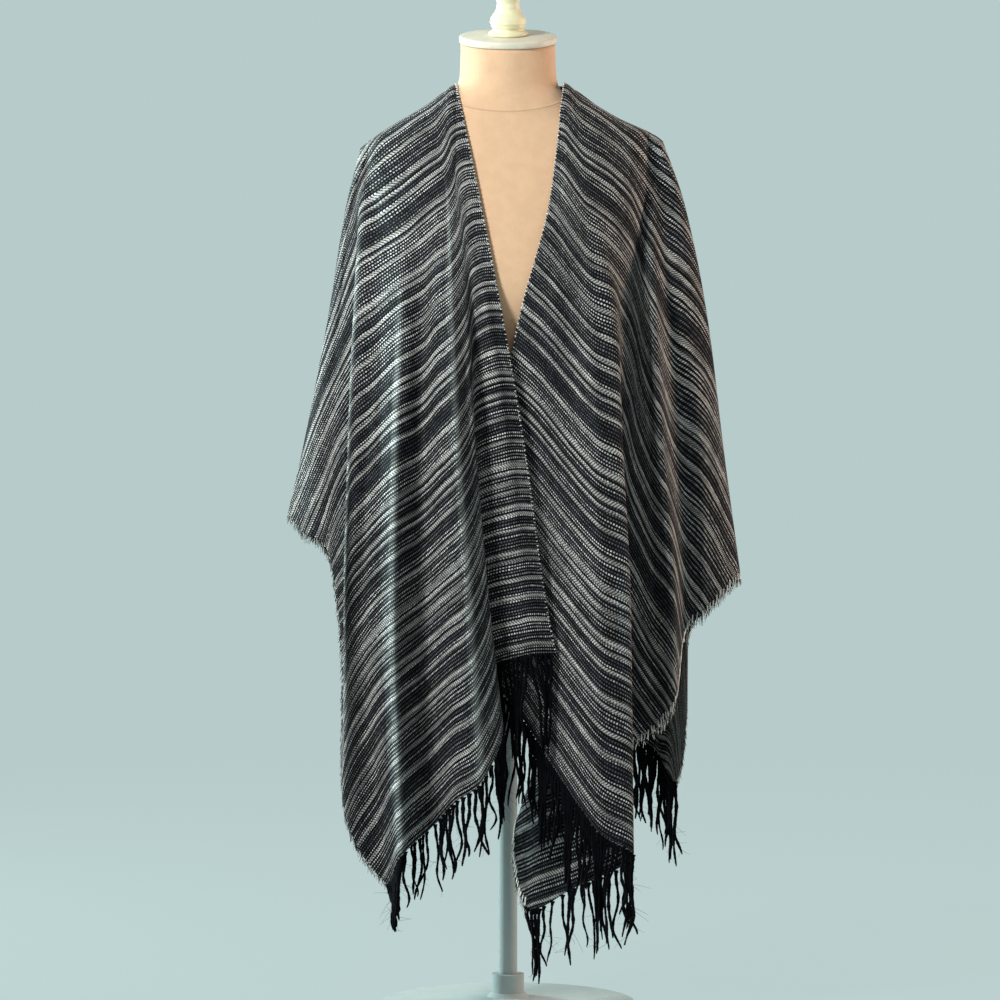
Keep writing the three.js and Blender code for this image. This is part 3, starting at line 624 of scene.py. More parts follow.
def cloth_piece(name, points, faces, material, places, painted_highlight):
    """A closed cloth shell with its flat places as texture coordinates and the painted highlight of its
    crests.
    """
    corner = points[faces[:, 0]]
    volume = sum(
        np.einsum("ij,ij->i", corner, np.cross(points[faces[:, k]], points[faces[:, k + 1]])).sum()
        for k in (1, 2)
    )
    if volume < 0:
        faces = faces[:, ::-1]
    piece = add_piece(name, points, faces.tolist(), material)
    mesh = piece.data
    corners = np.empty(len(mesh.loops), dtype=int)
    mesh.loops.foreach_get("vertex_index", corners)
    mesh.uv_layers.new(name="flat_cloth").data.foreach_set("uv", (places[corners] * MM).ravel())
    # The painted crest highlight, kept on the points for the shader
    mesh.attributes.new("painted_crest_highlight", "FLOAT", "POINT").data.foreach_set("value", painted_highlight)
    return piece


def ring_walls(rings, around, base=0):
    """Numbers of the points in a stack of rings, and the faces between each ring and the next."""
    ids = base + np.arange(rings * around).reshape(rings, around)
    following = np.roll(ids, -1, axis=1)
    walls = np.stack([ids[:-1], following[:-1], following[1:], ids[1:]], axis=-1)
    return ids, walls.reshape(-1, 4).tolist()


def closed_stack(rings, around, base=0):
    """Faces of a stack of rings with a fan at each end. The two tips follow the rings' points."""
    ids, faces = ring_walls(rings, around, base)
    following = np.roll(ids, -1, axis=1)
    first_tip = base + rings * around
    faces += [[first_tip, following[0, k], ids[0, k]] for k in range(around)]
    faces += [[first_tip + 1, ids[-1, k], following[-1, k]] for k in range(around)]
    return faces


def strand_piece(name, lines, radii, sides, material, squash=1.0, turns=0.0):
    """Closed tubes along lines of points as one mesh. Each tube may be flattened and twisted."""
    points = []
    faces = []
    base = 0
    corners = 2 * np.pi * np.arange(sides)[None, :] / sides
    wide, thin = np.cos(corners), squash * np.sin(corners)
    for line, radius in zip(lines, radii):
        along = unit(np.gradient(line, axis=0))
        helper = np.where(np.abs(along[:, 1:2]) < 0.9, [[0.0, 1, 0]], [[1.0, 0, 0]])
        right = unit(np.cross(along, helper))
        over = np.cross(along, right)
        spin = 2 * np.pi * turns * np.arange(len(line))[:, None]
        first = wide * np.cos(spin) - thin * np.sin(spin)
        second = wide * np.sin(spin) + thin * np.cos(spin)
        offset = first[..., None] * right[:, None] + second[..., None] * over[:, None]
        points.append((line[:, None] + radius[:, None, None] * offset).reshape(-1, 3))
        points.append(line[[0, -1]])
        faces += closed_stack(len(line), sides, base)
        base += len(line) * sides + 2
    return add_piece(name, np.concatenate(points), faces, material)


def turned_piece(name, profile, around, material):
    """A turned solid about Z from a profile of radius and height that starts and ends on the axis."""
    angle = 2 * np.pi * np.arange(around) / around
    rings = [(r, z) for r, z in profile if r > 0]
    points = [(r * np.cos(a), r * np.sin(a), z) for r, z in rings for a in angle]
    points += [(0, 0, profile[0][1]), (0, 0, profile[-1][1])]
    return add_piece(name, points, closed_stack(len(rings), around), material)


# Weave, in millimetres of flat cloth
DOT_SPACING = 2.8
DOT_STAGGER = 7.0
SLOW_WANDER = 3.0
QUICK_WANDER = 1.2
SLOW_WAVES = (0.012, 0.05)
QUICK_WAVES = (0.06, 0.2)
WORN_WAVES = (0.022, 0.12)
HATCH_ACROSS = 3.1
HATCH_DOWN = 4.4

# Weave, in shares of a row, a dot, a band or a hatch line, each edge from its start to its end
ROW_EDGE = (0.10, 0.30)
DOT_EDGE = (0.16, 0.38)
HATCH_EDGE = (0.10, 0.34)
BAND_CENTRE = 0.22
BAND_CENTRE_SPREAD = 0.26
BAND_HALF = 0.07
BAND_HALF_SPREAD = 0.03
BAND_EDGE = (-0.025, 0.02)
SECOND_BAND_AFTER = 0.34
SECOND_BAND_HALF = 0.055
SECOND_BAND_EDGE = (-0.02, 0.02)
DARK_LINE_AFTER = 0.045
DARK_LINE_EDGE = (0.03, 0.055)
DARK_LINE_COLOR = (0.003, 0.003, 0.004)

# Scales of the thread grain, and of the linen's threads across, through and up
CLOTH_GRAIN = 900.0
YARN_GRAIN = 700.0
LINEN_GRAIN = 1100.0
PAINT_GRAIN = 45.0
GRAIN_PATCHES = 60
LINEN_THREADS = (1400, 1400, 160)

# Neck seam, in metres. It is higher by SEAM_RISE at SEAM_RISE_AT to each side
SEAM_RISE = 0.0046
SEAM_RISE_AT = 0.05
SEAM_EDGE = (0.0002, 0.0008)
SEAM_LIP_EDGE = (0.0010, 0.0035)
SEAM_COLOR = (0.34, 0.20, 0.12)


# Shader building
class Wire:
    """What a node puts out. It adds, subtracts, multiplies and divides like a number."""

    def __init__(self, nodes, socket):
        self.nodes = nodes
        self.socket = socket

    def __add__(self, other):
        return self.nodes.math("ADD", self, other)

    def __sub__(self, other):
        return self.nodes.math("SUBTRACT", self, other)

    def __rsub__(self, other):
        return self.nodes.math("SUBTRACT", other, self)

    def __mul__(self, other):
        return self.nodes.math("MULTIPLY", self, other)

    def __truediv__(self, other):
        return self.nodes.math("DIVIDE", self, other)

    def __abs__(self):
        return self.nodes.math("ABSOLUTE", self)

    def floor(self):
        return self.nodes.math("FLOOR", self)

    def fract(self):
        return self.nodes.math("FRACT", self)

    def eased(self, low, high):
        """0 below low, 1 above high and eased between."""
        inputs = {"Value": self, "From Min": low, "From Max": high}
        return self.nodes.output("ShaderNodeMapRange", "Result", inputs, interpolation_type="SMOOTHSTEP")


class Nodes:
    """Short calls for the nodes of one tree."""

    def __init__(self, tree):
        self.tree = tree

    def feed(self, socket, value):
        """Link a wire to a socket, or set the socket to a plain value."""
        if isinstance(value, Wire):
            self.tree.links.new(value.socket, socket)
        else:
            socket.default_value = value

    def add(self, kind, inputs, **values):
        """A new node with values of its own, and with what goes into its named or numbered sockets."""
        node = self.tree.nodes.new(kind)
        for name, value in values.items():
            setattr(node, name, value)
        for label, value in inputs.items():
            self.feed(node.inputs[label], value)
        return node

    def output(self, kind, label, inputs, **values):
        """The wire from one output of a new node."""
        return Wire(self, self.add(kind, inputs, **values).outputs[label])

    def math(self, operation, *values):
        return self.output("ShaderNodeMath", 0, dict(enumerate(values)), operation=operation)

    def mix(self, share, first, second):
        """The first colour with a share of the second over it."""
        node = self.add("ShaderNodeMix", {}, data_type="RGBA")
        sockets = [socket for socket in node.inputs if socket.enabled]
        for socket, value in zip(sockets, (share, first, second)):
            self.feed(socket, value if isinstance(value, Wire) else (*value[:3], 1))
        return Wire(self, next(socket for socket in node.outputs if socket.enabled))

    def vector(self, x, y, z=0.0):
        return self.output("ShaderNodeCombineXYZ", 0, {0: x, 1: y, 2: z})

    def split(self, vector):
        """The three parts of a vector."""
        node = self.add("ShaderNodeSeparateXYZ", {0: vector})
        return [Wire(self, socket) for socket in node.outputs]

    def noise(self, vector, scale, detail):
        inputs = {"Vector": vector, "Scale": scale, "Detail": detail}
        return self.output("ShaderNodeTexNoise", 0, inputs)

    def random(self, vector):
        return self.output("ShaderNodeTexWhiteNoise", "Value", {"Vector": vector}, noise_dimensions="3D")

    def group(self, tree, inputs):
        """The wires, by name, from one use of a node group."""
        node = self.add("ShaderNodeGroup", inputs, node_tree=tree)
        return {socket.name: Wire(self, socket) for socket in node.outputs}


def group_tree(name, inputs, outputs):
    """A new shader node group with short calls for its nodes and the wires of its inputs."""
    tree = bpy.data.node_groups.new(name, "ShaderNodeTree")
    for label, kind, default in inputs:
        socket = tree.interface.new_socket(label, in_out="INPUT", socket_type=kind)
        if default is not None:
            socket.default_value = default
    for label in outputs:
        tree.interface.new_socket(label, in_out="OUTPUT", socket_type="NodeSocketFloat")
    nodes = Nodes(tree)
    given = nodes.add("NodeGroupInput", {})
    return tree, nodes, {socket.name: Wire(nodes, socket) for socket in given.outputs}


def thread_grain_group():
    """Fine uneven thread over any cloth or yarn: a mask and a height."""
    name = "Thread grain"
    if name in bpy.data.node_groups:
        return bpy.data.node_groups[name]
    inputs = [("Vector", "NodeSocketVector", None), ("Scale", "NodeSocketFloat", CLOTH_GRAIN)]
    tree, nodes, given = group_tree(name, inputs, ["Mask", "Height"])
    nodes.add("NodeGroupOutput", {
        "Mask": nodes.noise(given["Vector"], GRAIN_PATCHES, 3).eased(0.35, 0.65),
        "Height": nodes.noise(given["Vector"], given["Scale"], 3),
    })
    return tree


def woven_stripes_group():
    """Rows of pale dashes on a dark ground, with wider hatched bands, from flat places in metres."""
    name = "Woven stripes"
    if name in bpy.data.node_groups:
        return bpy.data.node_groups[name]
    inputs = [
        ("Flat place", "NodeSocketVector", None),
        ("Row spacing", "NodeSocketFloat", 3.0),
        ("Band spacing", "NodeSocketFloat", 24.0),
    ]
    tree, nodes, given = group_tree(name, inputs, ["Dash", "Band", "Line", "Brightness", "Height"])
    across, down, _ = nodes.split(given["Flat place"])
    u = across * 1000
    v = down * 1000
    slow = nodes.noise(nodes.vector(u * SLOW_WAVES[0], v * SLOW_WAVES[1]), 1, 2)
    quick = nodes.noise(nodes.vector(u * QUICK_WAVES[0], v * QUICK_WAVES[1]), 1, 1)
    v = v + (slow * SLOW_WANDER + quick * QUICK_WANDER)

    row = v / given["Row spacing"]
    row_chance = nodes.random(nodes.vector(row.floor(), 3.7, 1.3))
    dot = u / DOT_SPACING + row_chance * DOT_STAGGER
    in_row = 1 - abs(row.fract() - 0.5).eased(*ROW_EDGE)
    in_dot = 1 - abs(dot.fract() - 0.5).eased(*DOT_EDGE)
    spark = nodes.random(nodes.vector(row.floor(), dot.floor(), 0.5))
    strength = (spark * 0.7 + 0.3) * (row_chance.eased(0.25, 0.85) * 0.85 + 0.15)
    dash = in_row * in_dot * strength

    band = v / given["Band spacing"]
    band_chance = nodes.random(nodes.vector(band.floor(), 9.1, 4.2))
    second_chance = nodes.random(nodes.vector(band.floor(), 2.2, 8.8))
    centre = band_chance * BAND_CENTRE_SPREAD + BAND_CENTRE
    past_band = abs(band.fract() - centre) - (second_chance * BAND_HALF_SPREAD + BAND_HALF)
    past_second = abs(band.fract() - (centre + SECOND_BAND_AFTER)) - SECOND_BAND_HALF
    main = 1 - past_band.eased(*BAND_EDGE)
    second = (1 - past_second.eased(*SECOND_BAND_EDGE)) * second_chance.eased(0.45, 0.55)
    hatch = u / HATCH_ACROSS + v / HATCH_DOWN
    hatched = abs(hatch.fract() - 0.5).eased(*HATCH_EDGE) * 0.92 + 0.08
    bands = nodes.math("MAXIMUM", main, second) * hatched

    worn = nodes.noise(nodes.vector(u * WORN_WAVES[0], v * WORN_WAVES[1]), 1, 3)
    nodes.add("NodeGroupOutput", {
        "Dash": dash,
        "Band": bands,
        "Line": 1 - abs(past_band - DARK_LINE_AFTER).eased(*DARK_LINE_EDGE),
        "Brightness": worn.eased(0.34, 0.66),
        "Height": dash * 0.7 + (bands + in_row * 0.5),
    })
    return tree


def new_material(name):
    """A material with short calls for its nodes, and its Principled shader."""
    material = bpy.data.materials.new(name)
    material.use_nodes = True
    shader = next(node for node in material.node_tree.nodes if node.type == "BSDF_PRINCIPLED")
    return material, Nodes(material.node_tree), shader


def finish_shader(nodes, shader, color, bump, **uniform):
    """Give a shader its colour, its bump of height, strength and distance, and its uniform values."""
    nodes.feed(shader.inputs["Base Color"], color)
    bump_inputs = dict(zip(("Height", "Strength", "Distance"), bump))
    nodes.feed(shader.inputs["Normal"], nodes.output("ShaderNodeBump", "Normal", bump_inputs))
    for name, value in uniform.items():
        shader.inputs[name.replace("_", " ")].default_value = value


def woven_material(settings):
    """Dark woven cloth with rows of pale dashes, hatched grey bands and a painted highlight on its
    crests.
    """
    name = "Woven wool"
    if name in bpy.data.materials:
        return bpy.data.materials[name]
    material, nodes, shader = new_material(name)
    place = nodes.output("ShaderNodeUVMap", 0, {}, uv_map="flat_cloth")
    spacings = {"Row spacing": settings.row_spacing, "Band spacing": settings.band_spacing}
    stripes = nodes.group(woven_stripes_group(), {"Flat place": place, **spacings})
    grain = nodes.group(thread_grain_group(), {"Vector": place, "Scale": CLOTH_GRAIN})
    brightness = stripes["Brightness"]
    color = nodes.mix(grain["Mask"], settings.ground_dark, settings.ground_light)
    color = nodes.mix(stripes["Line"] * 0.9, color, DARK_LINE_COLOR)
    color = nodes.mix(stripes["Dash"] * (brightness * 0.40 + 0.60), color, settings.dash_color)
    color = nodes.mix(stripes["Band"] * (brightness * 0.62 + 0.38), color, settings.band_color)
    # Painted highlight: the raised threads of the sharpest crests are mixed towards a pale teal, as if
    # lit
    painted_highlight = nodes.output("ShaderNodeAttribute", "Fac", {}, attribute_name="painted_crest_highlight")
    raised = stripes["Height"].eased(0.25, 0.95) * 0.86 + 0.12
    color = nodes.mix(painted_highlight * raised * (brightness * 0.6 + 0.55), color, settings.painted_highlight_color)
    bump = (stripes["Height"] + grain["Height"] * 0.5, 0.55, 0.0012)
    finish_shader(nodes, shader, color, bump, Roughness=0.85, Specular_IOR_Level=0.05,
                  Sheen_Weight=0.03, Sheen_Roughness=0.35, Sheen_Tint=(0.75, 0.85, 0.86, 1))
    return material


def yarn_material(name, color, sheen):
    """Twisted yarn of one colour."""
    if name in bpy.data.materials:
        return bpy.data.materials[name]
    material, nodes, shader = new_material(name)
    place = nodes.output("ShaderNodeTexCoord", "Object", {})
    grain = nodes.group(thread_grain_group(), {"Vector": place, "Scale": YARN_GRAIN})
    darker = [channel * 0.6 for channel in color]
    finish_shader(nodes, shader, nodes.mix(grain["Mask"], darker, color), (grain["Height"], 0.4, 0.0006),
                  Roughness=0.9, Specular_IOR_Level=0.04, Sheen_Weight=sheen)
    return material


def linen_material(settings):
    """Fine cream linen over padding, with the neck seam drawn in it."""
    name = "Form linen"
    if name in bpy.data.materials:
        return bpy.data.materials[name]
    material, nodes, shader = new_material(name)
    place = nodes.output("ShaderNodeTexCoord", "Object", {})
    grain = nodes.group(thread_grain_group(), {"Vector": place, "Scale": LINEN_GRAIN})
    x, y, z = nodes.split(place)
    stretched = [wire * scale for wire, scale in zip((x, y, z), LINEN_THREADS)]
    threads = nodes.noise(nodes.vector(*stretched), 1, 2)
    color = nodes.mix(grain["Mask"] * 0.25, settings.linen_color, settings.linen_shade)
    color = nodes.mix(threads.eased(0.4, 0.75) * 0.25, color, settings.linen_shade)
    sideways = x / SEAM_RISE_AT
    seam_height = y * math.tan(NECK_TILT) + settings.neck_seam_height + sideways * sideways * SEAM_RISE
    off_seam = abs(z - seam_height)
    seam = 1 - off_seam.eased(*SEAM_EDGE)
    lip = 1 - off_seam.eased(*SEAM_LIP_EDGE)
    color = nodes.mix(seam * 0.4, color, SEAM_COLOR)
    bump = (threads * 0.25 + lip * 0.8 - seam * 1.6, 0.5, 0.0009)
    finish_shader(nodes, shader, color, bump, Roughness=0.82, Specular_IOR_Level=0.3, Sheen_Weight=0.1)
    return material


def painted_material(name, color, darker, roughness):
    """Satin paint, slightly uneven."""
    if name in bpy.data.materials:
        return bpy.data.materials[name]
    material, nodes, shader = new_material(name)
    place = nodes.output("ShaderNodeTexCoord", "Object", {})
    grain = nodes.group(thread_grain_group(), {"Vector": place, "Scale": PAINT_GRAIN})
    shade = [channel * darker for channel in color]
    mixed = nodes.mix(grain["Mask"] * 0.6, color, shade)
    finish_shader(nodes, shader, mixed, (grain["Height"], 0.15, 0.001), Roughness=roughness)
    return material


# Sizes and colours that a user would change
class CapeSettings(bpy.types.PropertyGroup):
    """Sizes and colours of the cape and its dress form."""

    cloth_thickness: bpy.props.FloatProperty(
        name="Cloth thickness", description="Thickness of the woven cloth",
        default=0.002, min=0.001, max=0.003, unit="LENGTH")
    row_spacing: bpy.props.FloatProperty(
        name="Row spacing", description="Distance between rows of pale dashes, in millimetres",
        default=3.7, min=1.5, max=8.0)
    band_spacing: bpy.props.FloatProperty(
        name="Band spacing", description="Distance between hatched bands, in millimetres",
        default=26.0, min=10.0, max=80.0)
    ground_dark: bpy.props.FloatVectorProperty(
        name="Ground, dark", description="Darkest colour of the cloth's ground",
        default=(0.0025, 0.0030, 0.0045), size=3, subtype="COLOR", min=0, max=1)
    ground_light: bpy.props.FloatVectorProperty(
        name="Ground, light", description="Lightest colour of the cloth's ground",
        default=(0.0070, 0.0085, 0.0125), size=3, subtype="COLOR", min=0, max=1)
    dash_color: bpy.props.FloatVectorProperty(
        name="Dashes", description="Colour of the pale dashes",
        default=(0.95, 0.95, 0.93), size=3, subtype="COLOR", min=0, max=1)
    band_color: bpy.props.FloatVectorProperty(
        name="Bands", description="Colour of the hatched bands",
        default=(0.50, 0.50, 0.48), size=3, subtype="COLOR", min=0, max=1)
    # Colour of the painted highlight on the crests, which stands in for light caught by them
    painted_highlight_color: bpy.props.FloatVectorProperty(
        name="Nap", description="Colour of the brushed nap on the crests",
        default=(0.74, 0.84, 0.83), size=3, subtype="COLOR", min=0, max=1)
    yarn_color: bpy.props.FloatVectorProperty(
        name="Fringe yarn", description="Colour of the fringe",
        default=(0.0030, 0.0030, 0.0045), size=3, subtype="COLOR", min=0, max=1)
    pale_yarn: bpy.props.FloatVectorProperty(
        name="Pale yarn", description="Colour of the pale weft ends and loops",
        default=(0.80, 0.80, 0.77), size=3, subtype="COLOR", min=0, max=1)
    strand_spacing: bpy.props.FloatProperty(
        name="Strand spacing", description="Distance between fringe strands along a hem",
        default=0.0105, min=0.005, max=0.03, unit="LENGTH")
    weft_end_length: bpy.props.FloatProperty(
        name="Weft end length", description="Length of the short weft ends along the side edges",
        default=0.008, min=0.002, max=0.02, unit="LENGTH")
    linen_color: bpy.props.FloatVectorProperty(
        name="Linen", description="Colour of the dress form's linen",
        default=(0.66, 0.435, 0.275), size=3, subtype="COLOR", min=0, max=1)
    linen_shade: bpy.props.FloatVectorProperty(
        name="Linen, shaded", description="Darker threads of the dress form's linen",
        default=(0.52, 0.32, 0.19), size=3, subtype="COLOR", min=0, max=1)
    neck_seam_height: bpy.props.FloatProperty(
        name="Neck seam height", description="Height of the seam round the neck, on the form's axis",
        default=1.0722, min=1.0, max=1.12, unit="LENGTH")
    wood_color: bpy.props.FloatVectorProperty(
        name="Wood", description="Colour of the neck cap",
        default=(0.70, 0.66, 0.54), size=3, subtype="COLOR", min=0, max=1)
    stand_color: bpy.props.FloatVectorProperty(
        name="Stand", description="Colour of the stand's paint",
        default=(0.36, 0.42, 0.42), size=3, subtype="COLOR", min=0, max=1)
    finial_color: bpy.props.FloatVectorProperty(
        name="Finial", description="Colour of the turned finial",
        default=(0.80, 0.76, 0.50), size=3, subtype="COLOR", min=0, max=1)
    backdrop_color: bpy.props.FloatVectorProperty(
        name="Backdrop", description="Colour of the plain backdrop",
        default=(0.479, 0.604, 0.597), size=3, subtype="COLOR", min=0, max=1)


def panel_grids(panel, thickness):
    """Grids of a panel: middle, normals, flat places, outer and inner faces and painted crest highlight.
    """
    last = len(panel["folds"]) - 1
    s = np.arange(last * panel["steps"] + 1) / panel["steps"]
    t = (np.arange(ROWS_DOWN + 1) / ROWS_DOWN) ** ROW_CROWDING
    middle = panel_middle(panel, s, t)
    normals = panel_normals(panel, middle)
    half = normals * thickness / 2
    return {
        "middle": middle, "normals": normals, "places": flat_places(panel, middle),
        "outer": middle + half, "inner": middle - half, "painted_highlight": painted_crest_highlight(panel, s, t),
    }


class CAPE_OT_woven_panels(bpy.types.Operator):
    """Build the three woven panels of the cape as thin cloth shells"""

    bl_idname = "cape.woven_panels"
    bl_label = "Woven panels"

    def execute(self, context):
        settings = context.scene.cape_settings
        material = woven_material(settings)
        for panel in PANELS:
            grids = panel_grids(panel, settings.cloth_thickness / MM)
            across, down = grids["middle"].shape[:2]
            points = np.concatenate([grids["outer"].reshape(-1, 3), grids["inner"].reshape(-1, 3)])
            places = np.concatenate([grids["places"].reshape(-1, 2)] * 2)
            # The painted crest highlight lies on the outer face only
            painted_highlight = np.concatenate([grids["painted_highlight"].ravel(), np.zeros(grids["painted_highlight"].size)])
            piece = cloth_piece(panel["piece"], points, wall_faces(across, down), material, places, painted_highlight)
            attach(piece, "root")
            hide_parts(panel["node"])
            edges = [name + panel["node"] for name in ("fringe_strands_", "weft_ends_")]
            if panel["slit"] is not None:
                edges.append("slit_loops_" + panel["node"])
            if panel["stitched_edge"]:
                edges.append("edge_stitches_" + panel["node"])
        return {"FINISHED"}


def lower_edge(grids, first, last):
    """Points, downward ways and ways along the lower edge of a panel between two of its columns."""
    points = grids["middle"][first:last + 1, -1]
    ways = unit(points - grids["middle"][first:last + 1, -3])
    return points, ways, unit(np.gradient(points, axis=0))


def strand_lines(panel, grids, spacing, seed):
    """Lines and radii of a hem's twisted strands, drawn together into bundles as they hang."""
    chance = random.Random(seed)
    points, ways, _ = lower_edge(grids, *(line * panel["steps"] for line in panel["hem"]))
    along = arc_lengths(points)
    total = along[-1]
    bundles = named_rows(BUNDLE_COLUMNS, panel["bundles"])
    part = np.linspace(0, 1, STRAND_STEPS)
    turn = np.minimum(1, part * 5)[:, None]
    lines, radii = [], []
    at = HEM_MARGIN
    while at < total - HEM_MARGIN:
        share = at / total
        joined = [bundle for bundle in bundles if abs(share - bundle["at"]) < bundle["reach"]]
        dense = joined or share < panel["dense_until"]
        at += spacing * chance.uniform(0.6, 1.4) * (panel["crowding"] if dense else 1)
        root, way = at_length(at, along, points, ways)
        length = np.interp(share, [0, 1], panel["lengths"]) * chance.uniform(*STRAND_LENGTHS)
        pull = np.zeros(3)
        for bundle in joined:
            centre, = at_length(bundle["at"] * total, along, points)
            pull = (centre - root) * BUNDLE_PULL
            length = bundle["length"] * chance.uniform(*BUNDLE_LENGTHS)
        step_way = unit(way * (1 - turn) + np.array([0, 0, -1.0]) * turn)
        line = root - way * STRAND_ROOT + np.cumsum(step_way, axis=0) * length / STRAND_STEPS
        sway = chance.uniform(*STRAND_SWAY) * (0.35 if joined else 1)
        phase = chance.uniform(0, 6.28)
        waves = chance.uniform(0.7, 1.6)
        drift = chance.uniform(-7, 7) * (0.3 if joined else 1)
        line[:, 0] += part * drift + sway * part * np.sin(phase + part * waves * 6.28)
        line[:, 1] += part * chance.uniform(-4, 4)
        line[:, 1] += 0.6 * sway * part * np.cos(phase + part * waves * 5.1)
        line += pull * smoothstep(part, 0.05, 0.55)[:, None]
        radius = chance.uniform(*STRAND_RADIUS) * (1 - STRAND_TAPER * part)
        radius *= 1 + 0.10 * np.sin(phase + part * 23)
        radius[:3] *= STRAND_ROOT_SWELL
        radius[-3:] *= STRAND_TIP_TAPER
        lines.append(line)
        radii.append(radius)
    return lines, radii


def loose_fibres(lines, seed):
    """Hair thin curled fibres that stand off the strands."""
    chance = random.Random(seed)
    part = np.linspace(0, 1, 8)[:, None]
    fibres, radii = [], []
    for line in lines:
        for _ in range(FIBRES_PER_STRAND):
            start = line[chance.randrange(6, len(line) - 2)]
            length = chance.uniform(8, 26)
            way = np.array([chance.uniform(-1, 1), chance.uniform(-0.5, 0.5), chance.uniform(-0.9, 0.5)])
            bend = np.array([chance.uniform(-8, 8), chance.uniform(-4, 4), chance.uniform(-8, 4)])
            fibres.append(start + way * length * part + bend * part ** 2 * 1.2)
            radii.append(FIBRE_RADIUS * (1 - 0.5 * part[:, 0]))
    return fibres, radii


class CAPE_OT_fringe(bpy.types.Operator):
    """Build the twisted warp ends that hang from the three hems"""

    bl_idname = "cape.fringe"
    bl_label = "Fringe"

    def execute(self, context):
        settings = context.scene.cape_settings
        yarn = yarn_material("Black yarn", settings.yarn_color, DARK_SHEEN)
        for seed, panel in enumerate(PANELS):
            grids = panel_grids(panel, settings.cloth_thickness / MM)
            spacing = settings.strand_spacing / MM
            lines, radii = strand_lines(panel, grids, spacing, seed + STRAND_SEED)
            fibres, fibre_radii = loose_fibres(lines, seed + FIBRE_SEED)
            piece = strand_piece("fringe_strands_" + panel["node"], lines, radii, 6, yarn,
                                 squash=STRAND_SQUASH, turns=STRAND_TURNS)
            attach(piece, "root")
            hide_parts("fringe_" + panel["node"])
            loose = strand_piece("loose_fibres_" + panel["node"], fibres, fibre_radii, 3, yarn)
            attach(loose, "root")
        return {"FINISHED"}


def side_edges(panel):
    """First and last column of each side edge of a panel."""
    first, last = panel["hem"]
    edges = [(last, len(panel["folds"]) - 1)]
    if first > 0:
        edges.append((0, first))
    return [(a * panel["steps"], b * panel["steps"]) for a, b in edges]


def short_ends(points, ways, sideways, spacing, length, seed):
    """Short tufts that stand off an edge, in their own ways."""
    chance = random.Random(seed)
    along = arc_lengths(points)
    part = np.linspace(0, 1, 5)[:, None]
    lines, radii = [], []
    at = 0.0
    while at < along[-1]:
        root, way, side = at_length(at, along, points, ways, sideways)
        reach = length * chance.uniform(0.45, 1.25)
        aim = way + side * chance.uniform(-0.5, 0.5)
        aim[1] += chance.uniform(-0.25, 0.25)
        curl = [chance.uniform(low, high) for low, high in ((-0.2, 0.2), (-0.2, 0.2), (-0.35, 0.1))]
        lines.append(root - way * WEFT_ROOT + aim * reach * part + np.array(curl) * reach * part ** 2)
        radii.append(chance.uniform(*WEFT_RADIUS) * (1 - 0.6 * part[:, 0]))
        at += spacing * chance.uniform(0.5, 1.5)
    return lines, radii


